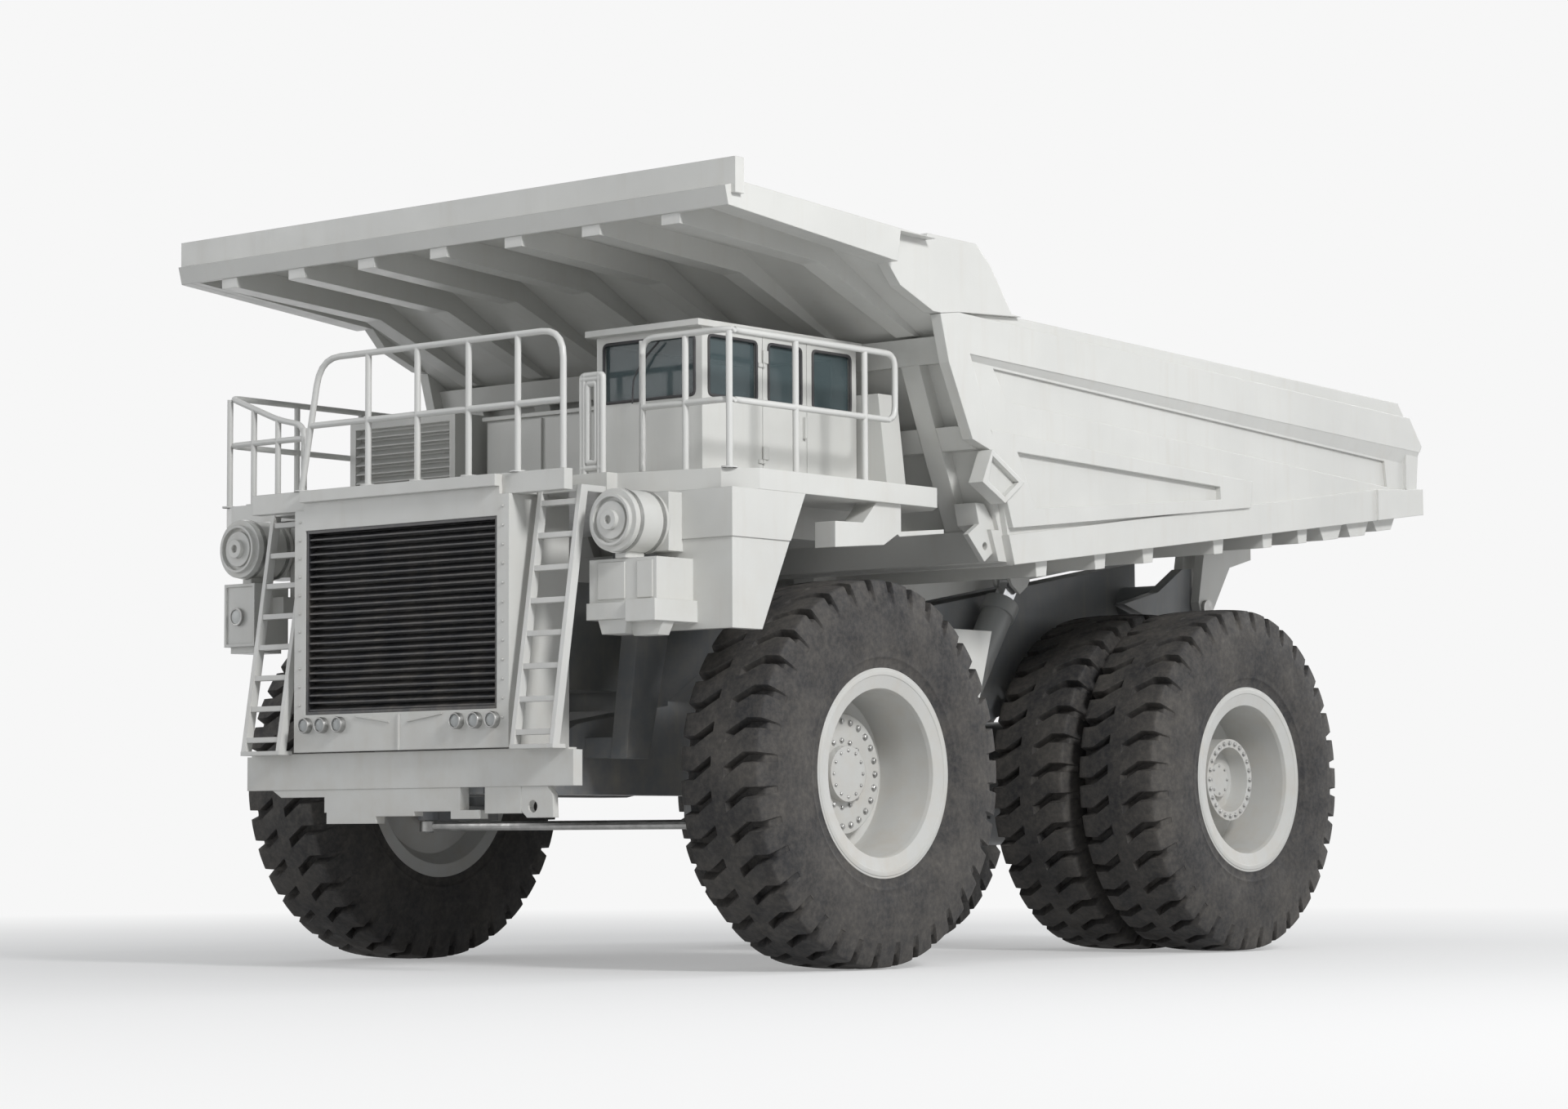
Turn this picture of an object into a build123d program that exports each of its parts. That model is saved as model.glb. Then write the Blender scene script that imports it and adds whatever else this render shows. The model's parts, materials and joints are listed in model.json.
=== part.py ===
from build123d import *
import os
from math import cos, hypot, pi, radians, sin

# A rigid mining dump truck of the 200 tonne class, in millimetres.
# Y runs from the front (-) to the tail (+), +X is the truck's left side and Z is up from the ground.
# All places are written with the front axle at Y = 0, and the finished pieces move so that the
# origin lies under the middle of the truck.

# Overall places along the truck
WHEELBASE = 6350
NOSE_Y = -3040
TAIL_Y = 9670
PIECE_GAP = 0.3  # between pieces of one body that seat on each other
RUN_GAP = 0.5  # radial play of a pin or a shaft in its hole

# Wheels
TYRE_R = 1800
TYRE_HALF = 520
TREAD_HALF = 430
LUG_COUNT = 22
LUG_DEPTH = 85
LUG_SHARE = 0.60  # of a pitch round the tread that a lug's top takes
LUG_SLOPE = 0.07  # of a pitch that each wall of a groove takes
LUG_SLANT = 0.5  # of a pitch that a lug turns from its middle to a shoulder; a half, so that the
# facets of both side walls end in the same corners
SHOULDER_DROP = 15
SIDE_RING = (505, 1600)  # half width and radius where the side wall meets the shoulder
BULGE_R = 1300
BEAD_HALF = 400
BEAD_R = 880
FLANGE_H = 90
FLANGE_R = BEAD_R + FLANGE_H
FLANGE_T = 78
RIM_WALL = 110
BARREL_R = BEAD_R - RIM_WALL
FRONT_X = 2870
REAR_OUTER_X = 2760
TWIN_STEP = 1120
FRONT_SPINDLE_R = 170
REAR_SPINDLE_R = 250
FRONT_HUB_R = 560
FRONT_CAP_R = 260
REAR_HUB_R = 430
REAR_CAP_R = 180

# Steering
KINGPIN_X = 1750
KNUCKLE_R = 200
KNUCKLE_HALF = 320
KNUCKLE_Z = (TYRE_R - KNUCKLE_HALF, TYRE_R + KNUCKLE_HALF)
STEER_ARM = 800
STEER_PIN_R = 45
TIE_Z = KNUCKLE_Z[0] - 140
TIE_R = 45

# Main frame
RAIL_X = (560, 900)
PAD_GAP = 60
PIVOT_X = 1500
PIVOT_Y = WHEELBASE + 1580
PIVOT_Z = 3740
PIVOT_PIN_R = 90
EAR_T = 140
# Outline of a pivot ear from its pin: along the truck and up
EAR_LINE = ((-1430, -10), (-760, 150), (-280, 430), (-100, 440), (-90, 140), (150, 140), (170, 0), (0, -160),
            (-630, -180), (-1030, -120))
FORK_T = 110
SIDE_PLAY = 10

TOWER_HALF = 230
SLEEVE_R = 205
NOSE_PIN_Y = WHEELBASE - 2020  # the pin that the rear axle's nose hangs from
NOSE_PIN_Z = 1885
HITCH_X = (275, 400)

STRUT_PLACE = (730, WHEELBASE + 330)
STRUT_Z = (TYRE_R + 700, 2980)
STRUT_PAD = 150
# Rear legs and front posts of the deck: sideways places, and the height of the legs' pads
LEG_X = (RAIL_X[0] + 60, RAIL_X[1] - 60)
LEG_PAD_Z = 3010
POST_X = (1250, 1450)

# Hoist cylinders: pins on the frame and on the body
HOIST_X = 1150
HOIST_FOOT = (WHEELBASE - 3050, 1450)
HOIST_HEAD = (WHEELBASE - 1350, 3930)
HOIST_PIN_R = 75
HOIST_BARREL_R = 170
HOIST_ROD_R = 115
HOIST_EYE_R = 150
HOIST_EYE_T = 150
HOIST_CAP_REACH = 50
HOIST_BARREL_TOP = 2700
# Outline of the horn below the rail that holds a cylinder's foot, from the foot's pin: along the
# truck, and height
HORN_LINE = ((-400, 2400), (-200, 1330), (200, 1330), (650, 2400))

# Dump body
BODY_X = 3470
BODY_WALL = 120
WALL_T = 90
FLOOR_T = 90
FLOOR_FRONT = (1940, 3820)
FLOOR_TAIL = (TAIL_Y, 4790)
# Cross bolsters below the floor: place along the truck, half width at the foot and at the floor
BOLSTERS = ((2500, 80, 100), (3500, 80, 100), (HOIST_HEAD[0] - 650, 80, 100), (HOIST_HEAD[0] + 650, 80, 100),
            (6600, 80, 100), (7300, 80, 100), (7880, 150, 240), (8440, 150, 240), (9000, 150, 240))
BOLSTER_DEPTH = 150
SILL_X = (600, 860)
SILL_FRONT_Z = 3340
SILL_SLOPE = 0.1718
SKIN_STEP = 60  # the side's skin lies this far inside its raised rails
RECESS = 30
BEAM_END = 70  # how far the front cross beam's square end stands out of the side
CANOPY_NOSE_Y = -2500
RIB_W = 220
RIB_XS = (-2900, -1940, -970, 0, 970, 1940, 2900)
FASCIA_X = 3590
LIP_X = 3640

# Front end and deck
DECK_TOP = 4500
DECK_T = 190
DECK_FRONT_Y = -2900
HATCH_Y = -2340
HOUSING_X = 1400
HOUSING_Y = (-2940, -2150)
HOUSING_Z = (2030, DECK_TOP - DECK_T - PIECE_GAP)
HOUSING_WALL = 60
GRILLE_X = 1250
GRILLE_Z = (2380, 4115)
LOUVRE_COUNT = 24
BUMPER_X = 2120
BUMPER_Z = (1680, 2000)
BUMPER_Y = -2870
TOW_X = 1620
TOW_Z = 1500
TOW_R = 55
DECK_X = 3300
LADDER_X = (1500, 2030)
LADDER_FOOT = (-3000, 2010)
LADDER_HEAD = (-2620, 4370)
RUNG_COUNT = 8
RAIL_R = 32
RAIL_TOP = 5750
RAIL_MID = 5120

# Cab
CAB_X = (1150, 2450)
CAB_Y = (-1500, 750)
CAB_Z = (4000, 5930)
CAB_WALL = 70
DOOR_Y = (-640, 0)
DOOR_Z = (4560, 5860)
GLASS_T = 12
WINDOW_Z = (5250, 5800)
HINGE_R = 16
HINGE_Z = (DOOR_Z[0] + 150, DOOR_Z[1] - 250)
DOOR_GAP = 6


def block(x0, x1, y0, y1, z0, z1):
    """A box between two corners."""
    return Pos((x0 + x1) / 2, (y0 + y1) / 2, (z0 + z1) / 2) * Box(x1 - x0, y1 - y0, z1 - z0)


def side_plate(outline, x0, x1):
    """A plate seen from the side: (y, z) points, from x0 to x1."""
    face = make_face(Polyline(*[(x0, y, z) for y, z in outline], close=True))
    return extrude(face, x1 - x0, dir=(1, 0, 0))


def front_plate(outline, y0, y1):
    """A plate seen from the front: (x, z) points, from y0 to y1."""
    face = make_face(Polyline(*[(x, y0, z) for x, z in outline], close=True))
    return extrude(face, y1 - y0, dir=(0, 1, 0))


def plan_plate(outline, z0, z1):
    """A plate seen from above: (x, y) points, from z0 to z1."""
    face = make_face(Polyline(*[(x, y, z0) for x, y in outline], close=True))
    return extrude(face, z1 - z0, dir=(0, 0, 1))


def rod(start, end, radius):
    """A round bar between two points."""
    line = Vector(*end) - Vector(*start)
    return extrude(Plane(origin=start, z_dir=line) * Circle(radius), line.length)


def bar(start, end, radius, sides=8):
    """A bar of flat sides between two points, for rails and rungs."""
    line = Vector(*end) - Vector(*start)
    return extrude(Plane(origin=start, z_dir=line) * RegularPolygon(radius, sides), line.length)


def long_bar(start, end, radius, extra):
    """The same bar with both ends carried on a little, so that bars meet at a corner."""
    a, b = Vector(*start), Vector(*end)
    step = (b - a).normalized() * extra
    return bar(tuple(a - step), tuple(b + step), radius)


def cross_rod(y, z, radius, x0, x1):
    """A round bar along X."""
    return rod((x0, y, z), (x1, y, z), radius)


def turned(profile):
    """A body turned about the X axis from (x, radius) points."""
    face = make_face(Polyline(*[(x, 0, r) for x, r in profile], close=True))
    return revolve(face, Axis.X, 360)


def right_of(shape):
    """The same piece on the truck's right side."""
    return mirror(shape, about=Plane.YZ)


def fuse(pieces):
    """One solid from pieces that meet."""
    first, *rest = pieces
    return (first.fuse(*rest) if rest else first).clean()


def pairs(points):
    return list(zip(points, points[1:]))


def floor_z(y):
    """Height of the body floor's underside."""
    (y0, z0), (y1, z1) = FLOOR_FRONT, FLOOR_TAIL
    return z0 + (z1 - z0) * (y - y0) / (y1 - y0)


def sill_z(y):
    """Height of the underside of the body's sills."""
    return SILL_FRONT_Z + SILL_SLOPE * (y - FLOOR_FRONT[0])


# Wheels and axles

def facet_ring(half, radius, lag):
    """Corners of one ring of flat facets, one to a lug, whose flats lie at the radius."""
    pitch = 2 * pi / LUG_COUNT
    corner = radius / cos(pitch / 2)
    turns = [pitch * (i + lag - LUG_SHARE) - pi / 2 for i in range(LUG_COUNT)]
    return [Vector(half, corner * cos(t), corner * sin(t)) for t in turns]


def tread_ring(half, top, lag):
    """Corners of the tread across one half width: two on each lug's top and two in its groove."""
    pitch = 2 * pi / LUG_COUNT
    floor = top - LUG_DEPTH
    shape = ((0, top), (LUG_SHARE, top), (LUG_SHARE + LUG_SLOPE, floor), (1 - LUG_SLOPE, floor))
    ring = []
    for i in range(LUG_COUNT):
        for share, radius in shape:
            t = pitch * (i + share + lag - LUG_SHARE) - pi / 2
            ring.append(Vector(half, radius * cos(t), radius * sin(t)))
    return ring


def triangle(a, b, c):
    return Face(Wire.make_polygon([a, b, c], close=True))


def ring_strip(first, second):
    """Triangles between two rings, where the second has as many corners or a whole multiple."""
    count, faces = len(second), []
    step = count // len(first)
    for i, corner in enumerate(first):
        onward = first[(i + 1) % len(first)]
        run = [second[(i * step + k) % count] for k in range(step + 1)]
        faces += [triangle(corner, a, b) for a, b in pairs(run)]
        faces.append(triangle(corner, run[-1], onward))
    return faces


def tyre():
    """One tyre: beads, bulged side walls and lugs that slant one way across the whole tread."""
    seat = FLANGE_R + PIECE_GAP
    outer = BEAD_HALF + FLANGE_T
    centre = tread_ring(0, TYRE_R, 0)
    faces = []
    for side in (1, -1):
        lag = -side * LUG_SLANT
        shoulder = tread_ring(side * TREAD_HALF, TYRE_R - SHOULDER_DROP, lag)
        lines = ((BEAD_HALF, BEAD_R), (BEAD_HALF, seat), (outer, seat), (TYRE_HALF, BULGE_R), SIDE_RING)
        rings = [facet_ring(side * half, radius, lag - LUG_SHARE) for half, radius in lines]
        for first, second in pairs(rings):
            faces += ring_strip(first, second)
        faces += ring_strip(rings[-1], shoulder) + ring_strip(shoulder, centre)
    seam = LUG_SLANT - LUG_SHARE
    faces += ring_strip(facet_ring(-BEAD_HALF, BEAD_R, seam), facet_ring(BEAD_HALF, BEAD_R, seam))
    solid = Solid(Shell(faces))
    return solid if solid.volume > 0 else Solid(Shell([-face for face in faces]))


def front_rim():
    """Rim, web and hub drum of a front wheel, turned on its spindle."""
    seat = BEAD_R - PIECE_GAP
    inner, outer = FRONT_X - BEAD_HALF - PIECE_GAP, FRONT_X + BEAD_HALF + PIECE_GAP
    face = outer + FLANGE_T
    hub, cap = face - 500, face - 420
    bore = FRONT_SPINDLE_R + RUN_GAP
    profile = [(inner - FLANGE_T, FLANGE_R), (inner, FLANGE_R), (inner, seat), (outer, seat),
               (outer, FLANGE_R), (face, FLANGE_R), (face, FLANGE_R - 70), (face - 30, BARREL_R + 10),
               (face - 70, BARREL_R), (hub - 140, BARREL_R - 20), (hub - 200, FRONT_HUB_R),
               (hub, FRONT_HUB_R), (hub, FRONT_CAP_R), (cap, FRONT_CAP_R), (cap, 0), (cap - 40, 0),
               (cap - 40, bore), (inner + 40, bore), (inner + 40, FRONT_HUB_R - 80),
               (hub - 300, BARREL_R - 40), (inner - FLANGE_T, BEAD_R - 40)]
    return Pos(0, 0, TYRE_R) * turned(profile)


def rear_rim():
    """The long rim of a pair of rear tyres with the spacer band and the drive hub."""
    seat = BEAD_R - PIECE_GAP
    inner_x = REAR_OUTER_X - TWIN_STEP
    start, stop = inner_x - BEAD_HALF - PIECE_GAP, REAR_OUTER_X + BEAD_HALF + PIECE_GAP
    band = (inner_x + BEAD_HALF + PIECE_GAP, REAR_OUTER_X - BEAD_HALF - PIECE_GAP)
    face = stop + FLANGE_T
    hub = face - 240
    bore = REAR_SPINDLE_R + RUN_GAP
    profile = [(start - FLANGE_T, FLANGE_R), (start, FLANGE_R), (start, seat), (band[0], seat),
               (band[0], seat + 50), (band[1], seat + 50), (band[1], seat), (stop, seat),
               (stop, FLANGE_R), (face, FLANGE_R), (face, FLANGE_R - 70), (face - 30, BARREL_R + 10),
               (face - 70, BARREL_R), (hub - 400, BARREL_R - 20), (hub - 460, REAR_HUB_R),
               (hub, REAR_HUB_R), (hub, REAR_HUB_R - 90), (hub - 200, REAR_HUB_R - 100),
               (hub - 200, REAR_CAP_R), (hub - 130, REAR_CAP_R), (hub - 130, 0), (hub - 260, 0),
               (hub - 260, bore), (hub - 640, bore), (hub - 640, REAR_HUB_R + 120),
               (hub - 540, BARREL_R - 20), (start + 60, BARREL_R + 20), (start - FLANGE_T, BEAD_R - 40)]
    return Pos(0, WHEELBASE, TYRE_R) * turned(profile)


def knuckle():
    """Kingpin boss, spindle, brake drum and steering arm of the left front wheel."""
    z0, z1 = KNUCKLE_Z
    boss = rod((KINGPIN_X, 0, z0), (KINGPIN_X, 0, z1), KNUCKLE_R)
    inner = FRONT_X - BEAD_HALF
    spindle = turned([(KINGPIN_X, 0), (KINGPIN_X, 230), (inner - 190, 230), (inner - 190, 430),
                      (inner - 10, 430), (inner - 10, FRONT_SPINDLE_R), (inner + 400, FRONT_SPINDLE_R),
                      (inner + 400, 0)])
    arm = plan_plate([(KINGPIN_X - 90, -STEER_ARM), (KINGPIN_X - 170, 0), (KINGPIN_X + 170, 0),
                      (KINGPIN_X + 90, -STEER_ARM)], z0 - 80, z0 + 60)
    tip = rod((KINGPIN_X, -STEER_ARM, z0 - 80), (KINGPIN_X, -STEER_ARM, z0 + 60), 110)
    pin = rod((KINGPIN_X, -STEER_ARM, TIE_Z - 60), (KINGPIN_X, -STEER_ARM, z0), STEER_PIN_R)
    return fuse([boss, Pos(0, 0, TYRE_R) * spindle, arm, tip, pin])


def tie_rod():
    """The rod between the two steering arms, with an eye at each end."""
    eyes = [rod((s * KINGPIN_X, -STEER_ARM, TIE_Z - 50), (s * KINGPIN_X, -STEER_ARM, TIE_Z + 50), 95)
            for s in (-1, 1)]
    body = bar((-KINGPIN_X, -STEER_ARM, TIE_Z), (KINGPIN_X, -STEER_ARM, TIE_Z), TIE_R, 12)
    holes = [rod((s * KINGPIN_X, -STEER_ARM, TIE_Z - 60), (s * KINGPIN_X, -STEER_ARM, TIE_Z + 60),
                 STEER_PIN_R + RUN_GAP) for s in (-1, 1)]
    return fuse([body] + eyes).cut(*holes)


def front_strut():
    """Suspension strut over the left kingpin: outer tube, chromed rod and its clamp on the frame."""
    top = KNUCKLE_Z[1] + PIECE_GAP
    lower = rod((KINGPIN_X, 0, top), (KINGPIN_X, 0, top + 260), 150)
    tube = rod((KINGPIN_X, 0, top + 260), (KINGPIN_X, 0, 3420), SLEEVE_R)
    return fuse([lower, tube])


def rear_axle():
    """Axle housing between the wheels, its two spindles and the nose that reaches the frame."""
    start = REAR_OUTER_X - TWIN_STEP - BEAD_HALF - FLANGE_T
    hub = REAR_OUTER_X + BEAD_HALF + FLANGE_T - 240
    half = [(0, 0), (0, 680), (700, 680), (start - 30, 600), (hub - 660, 600),
            (hub - 660, REAR_SPINDLE_R), (hub - 270, REAR_SPINDLE_R), (hub - 270, 0)]
    left = Pos(0, WHEELBASE, TYRE_R) * turned(half)
    root, tip, half_width = WHEELBASE - 560, NOSE_PIN_Y + 20, HITCH_X[0] - 15
    nose = side_plate([(root, 1400), (root, 2200), (tip, NOSE_PIN_Z + 125), (tip, NOSE_PIN_Z - 125)],
                      -half_width, half_width)
    eye = cross_rod(NOSE_PIN_Y, NOSE_PIN_Z, 190, -half_width, half_width)
    x, y = STRUT_PLACE
    pad = block(x - STRUT_PAD, x + STRUT_PAD, y - STRUT_PAD, y + STRUT_PAD, TYRE_R + 200, STRUT_Z[0])
    return fuse([left, right_of(left), nose, eye, pad, right_of(pad)])


def rear_strut():
    """Suspension strut from its pad on the axle housing up to the frame, left side."""
    x, y = STRUT_PLACE
    split = (STRUT_Z[0] + STRUT_Z[1]) / 2
    lower = rod((x, y, STRUT_Z[0] + PIECE_GAP), (x, y, split), 95)
    tube = rod((x, y, split), (x, y, STRUT_Z[1] - PIECE_GAP), 145)
    return fuse([lower, tube])


# Frame

def frame_rail():
    """The left box rail: low at the nose, deep under the body and up to the pivot."""
    y_mid, y_end = 2300, PIVOT_Y - 230
    top = [(-2750, 2000), (-2100, 2020), (-1500, 2280), (300, 2560), (1500, 3120)]
    top += [(y, sill_z(y) - PAD_GAP) for y in (y_mid, y_end)]
    bottom = [(y_end, 3480), (WHEELBASE + 350, 3080), (WHEELBASE - 500, 2700), (WHEELBASE - 1750, 2350),
              (WHEELBASE - 3950, 1900), (800, 1620), (-2750, 1620)]
    return side_plate(top + bottom, *RAIL_X)


def frame_members():
    """Cross members between the rails: the nose, the axle, the engine and two below the body."""
    x0 = RAIL_X[0]
    cross = [(-2600, -2350, 1700, 1980), (-450, 450, 1640, 2440), (2500, 2900, 2100, 2900),
             (NOSE_PIN_Y - 180, NOSE_PIN_Y + 90, 2420, 3060),
             (WHEELBASE - 1050, WHEELBASE - 750, 3000, 3560)]
    return [block(-x0, x0, y0, y1, z0, z1) for y0, y1, z0, z1 in cross]


def strut_tower():
    """The left tower that a front kingpin's sleeve stands in."""
    x0, x1 = RAIL_X
    low, top = 2300, 3400
    outer = front_plate([(x1, 2520), (KINGPIN_X, 3060), (KINGPIN_X, top), (x1, top)], -TOWER_HALF, TOWER_HALF)
    tower = fuse([outer, block(x0, x1, -TOWER_HALF, TOWER_HALF, low, top)])
    return tower - rod((KINGPIN_X, 0, low + 100), (KINGPIN_X, 0, top + 100), SLEEVE_R + PIECE_GAP)


def hoist_foot():
    """The left horn below the rail, with the pin and cap that hold a cylinder's foot."""
    x0, x1 = RAIL_X
    cap_x0 = HOIST_X + HOIST_EYE_T / 2 + SIDE_PLAY
    cap_x1 = HOIST_X + HOIST_EYE_T / 2 + HOIST_CAP_REACH
    pin = cross_rod(*HOIST_FOOT, HOIST_PIN_R, x1, cap_x1)
    cap = cross_rod(*HOIST_FOOT, HOIST_PIN_R + 45, cap_x0, cap_x1)
    horn = side_plate([(HOIST_FOOT[0] + dy, z) for dy, z in HORN_LINE], x0, x1)
    return [pin, cap, horn]


def pivot_ear():
    """The left ear that stands on the frame's tail and holds a pivot pin."""
    line = [(PIVOT_Y + dy, PIVOT_Z + dz) for dy, dz in EAR_LINE]
    ear = side_plate(line, PIVOT_X - EAR_T / 2, PIVOT_X + EAR_T / 2)
    return ear - cross_rod(PIVOT_Y, PIVOT_Z, PIVOT_PIN_R + PIECE_GAP, PIVOT_X - EAR_T, PIVOT_X + EAR_T)


def axle_hitch():
    """The left plate that the axle's nose hangs from, with its web to the rail."""
    (x0, x1), y, z, top, half = HITCH_X, NOSE_PIN_Y, NOSE_PIN_Z, 2430, 180
    plate = side_plate([(y - half, top), (y - half, z), (y, z - 185), (y + half, z), (y + half, top)], x0, x1)
    return [plate, block(x0, RAIL_X[0], y - half, y + half, top - 130, top)]


def main_frame():
    """Both rails, cross members, strut towers, hoist horns and the rear pivot ears."""
    sx, sy = STRUT_PLACE
    half = STRUT_PAD
    strut_foot = block(sx - half, sx + half, sy - half, sy + half, STRUT_Z[1], STRUT_Z[1] + 250)
    leg_pad = block(LEG_X[0] - 20, LEG_X[1] + 20, 880, 1100, 2600, LEG_PAD_Z)
    left = [frame_rail(), strut_tower(), pivot_ear(), strut_foot, leg_pad] + hoist_foot() + axle_hitch()
    tube = cross_rod(PIVOT_Y - 420, 3800, 190, -PIVOT_X, PIVOT_X)
    return fuse(frame_members() + left + [right_of(piece) for piece in left] + [tube])


def pivot_pins():
    """The two pins that the dump body turns on."""
    reach = EAR_T / 2 + SIDE_PLAY + FORK_T + 40
    pin = cross_rod(PIVOT_Y, PIVOT_Z, PIVOT_PIN_R, PIVOT_X - reach, PIVOT_X + reach)
    return Compound([pin, right_of(pin)])


# Hoist

def hoist_line():
    (y0, z0), (y1, z1) = HOIST_FOOT, HOIST_HEAD
    length = hypot(y1 - y0, z1 - z0)
    return length, (y1 - y0) / length, (z1 - z0) / length


def along_hoist(distance):
    """A point on the left hoist cylinder's line, measured from its foot pin."""
    length, dy, dz = hoist_line()
    return (HOIST_X, HOIST_FOOT[0] + dy * distance, HOIST_FOOT[1] + dz * distance)


def hoist_plate(start, stop, wide, half):
    """A flat neck in the cylinder's plane between two distances from the foot pin."""
    length, dy, dz = hoist_line()
    line = []
    for distance, offset in ((start, -wide), (stop, -wide), (stop, wide), (start, wide)):
        x, y, z = along_hoist(distance)
        line.append((y - dz * offset, z + dy * offset))
    return side_plate(line, HOIST_X - half, HOIST_X + half)


def hoist_barrel():
    half = HOIST_EYE_T / 2
    eye = cross_rod(*HOIST_FOOT, HOIST_EYE_R, HOIST_X - half, HOIST_X + half)
    neck = hoist_plate(0, 300, 130, half)
    tube = rod(along_hoist(280), along_hoist(HOIST_BARREL_TOP), HOIST_BARREL_R)
    gland = rod(along_hoist(HOIST_BARREL_TOP - 160), along_hoist(HOIST_BARREL_TOP), HOIST_BARREL_R + 25)
    body = fuse([eye, neck, tube, gland])
    body -= cross_rod(*HOIST_FOOT, HOIST_PIN_R + RUN_GAP, HOIST_X - 400, HOIST_X + 400)
    return body - rod(along_hoist(330), along_hoist(HOIST_BARREL_TOP + 10), HOIST_ROD_R + RUN_GAP)


def hoist_rod():
    half = HOIST_EYE_T / 2 - 15
    length = hoist_line()[0]
    eye = cross_rod(*HOIST_HEAD, HOIST_EYE_R - 20, HOIST_X - half, HOIST_X + half)
    neck = hoist_plate(length - 330, length, 90, half)
    shaft = rod(along_hoist(340), along_hoist(length - 300), HOIST_ROD_R)
    return fuse([eye, neck, shaft])


# Dump body

def body_floor():
    """Floor plate on two sills and cross bolsters, with the pivot forks and the hoist cheeks."""
    x = BODY_X - BODY_WALL - PIECE_GAP
    y0, y1 = FLOOR_FRONT[0] + WALL_T + PIECE_GAP, TAIL_Y
    plate = side_plate([(y0, floor_z(y0)), (y1, floor_z(y1)), (y1, floor_z(y1) + FLOOR_T),
                        (y0, floor_z(y0) + FLOOR_T)], -x, x)
    pieces = [plate]
    s0, s1 = FLOOR_FRONT[0] + 100, 9000
    for side in (1, -1):
        a, b = sorted((side * SILL_X[0], side * SILL_X[1]))
        pieces.append(side_plate([(s0, sill_z(s0)), (s1, sill_z(s1)), (s1 + 350, floor_z(s1 + 350)),
                                  (s1 + 350, floor_z(s1 + 350) + 10), (s0, floor_z(s0) + 10)], a, b))
        off = (EAR_T + FORK_T) / 2 + SIDE_PLAY
        for centre in (PIVOT_X - off, PIVOT_X + off):
            a, b = sorted((side * (centre - FORK_T / 2), side * (centre + FORK_T / 2)))
            fork = side_plate([(PIVOT_Y + 30, floor_z(PIVOT_Y) + 10), (PIVOT_Y - 140, PIVOT_Z + 60),
                               (PIVOT_Y - 90, PIVOT_Z - 110), (PIVOT_Y + 60, PIVOT_Z - 150),
                               (PIVOT_Y + 500, 4220), (PIVOT_Y + 940, 4330),
                               (PIVOT_Y + 940, floor_z(PIVOT_Y + 940) + 10)], a, b)
            pieces.append(fork)
        for centre in (HOIST_X - HOIST_EYE_T / 2 - 25, HOIST_X + HOIST_EYE_T / 2 + 25):
            a, b = sorted((side * (centre - 20), side * (centre + 20)))
            y, z = HOIST_HEAD
            cheek = side_plate([(y - 320, floor_z(y - 320) + 10), (y - 140, z - 60), (y, z - 150),
                                (y + 140, z - 60), (y + 320, floor_z(y + 320) + 10)], a, b)
            pieces.append(cheek)
    for y, foot, root in BOLSTERS:
        depth = min(BOLSTER_DEPTH, floor_z(y) - sill_z(y) - 30)
        a, b, c, d = y - root, y - foot, y + foot, y + root
        pieces.append(side_plate([(a, floor_z(a) + 10), (b, floor_z(b) - depth), (c, floor_z(c) - depth),
                                  (d, floor_z(d) + 10)], -x, x))
    floor = fuse(pieces)
    return floor - cross_rod(PIVOT_Y, PIVOT_Z, PIVOT_PIN_R + RUN_GAP, -BODY_X, BODY_X)


def rail_bevel(*ends):
    """The slope below a raised rail, from its lower edge in to the skin. Each end is a place
    along the truck, the height of the rail's edge and how far the slope's foot lies below it."""
    foot_x = BODY_X - SKIN_STEP - 5
    faces = [make_face(Polyline((BODY_X, y, z), (foot_x, y, z - drop), (foot_x, y, z), close=True))
             for y, z, drop in ends]
    return loft(faces, ruled=True)


def body_side():
    """Left side wall: skin with a recess, raised post and rails, tapered frame and tail beam."""
    x0, x1 = BODY_X - BODY_WALL, BODY_X
    skin_x = x1 - SKIN_STEP
    (y0, z0), (y1, z1) = FLOOR_FRONT, FLOOR_TAIL
    skin = side_plate([(y0, z0), (y1, z1), (y1, 5000), (9560, 5080), (9610, 5490), (9660, 5560), (9250, 6020),
                       (2050, 6230), (1040, 6170), (1210, 5790), (1600, 4860), (1780, 4470)], x0, skin_x)
    skin -= side_plate([(1660, 5695), (1860, 5395), (8990, 5060), (8940, 5345)], skin_x - RECESS, x1)
    top_rail = side_plate([(1040, 6170), (1210, 5790), (9610, 5490), (9660, 5560), (9400, 5860)], x0, x1)
    bevel = rail_bevel((1215, 5795, 60), (9600, 5495, 170))
    post = side_plate([(750, 6130), (880, 5680), (1240, 4980), (1640, 4860), (1210, 5790), (1040, 6170)],
                      x0, x1)
    lower = side_plate([(1540, 5090), (6140, 4920), (6100, 4640), (1880, 4170), (1700, 4640)], x0, x1)
    lower -= side_plate([(1960, 4910), (5520, 4820), (5530, 4690), (2250, 4380)], skin_x, x1 + 10)
    edge = side_plate([(y0, z0), (y1, z1), (y1, 5000), (8700, 5010), (1850, 4100)], x0, x1 - RECESS)
    tail = side_plate([(8700, 4670), (y1, z1), (y1, 5080), (8700, 5010)], x0, x1)
    tail_post = side_plate([(9340, 5060), (9560, 5060), (9610, 5500), (9340, 5500)], x0, x1 - 20)
    beam_end = side_plate([(1460, 4890), (1980, 4610), (1660, 4390), (1300, 4570)], x0 + 20, x1 + BEAM_END)
    beam_end -= side_plate([(1466, 4830), (1880, 4607), (1650, 4450), (1396, 4580)],
                           x1 + 10, x1 + BEAM_END + 10)
    return fuse([skin, top_rail, bevel, post, lower, edge, tail, tail_post, beam_end])


WALL_LINE = [FLOOR_FRONT, (1470, 5010), (1140, 5720), (1060, 5970)]
LUG_X = 3300
LUG_T = 60
LUG_HOLE = (1650, 3990)


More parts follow.
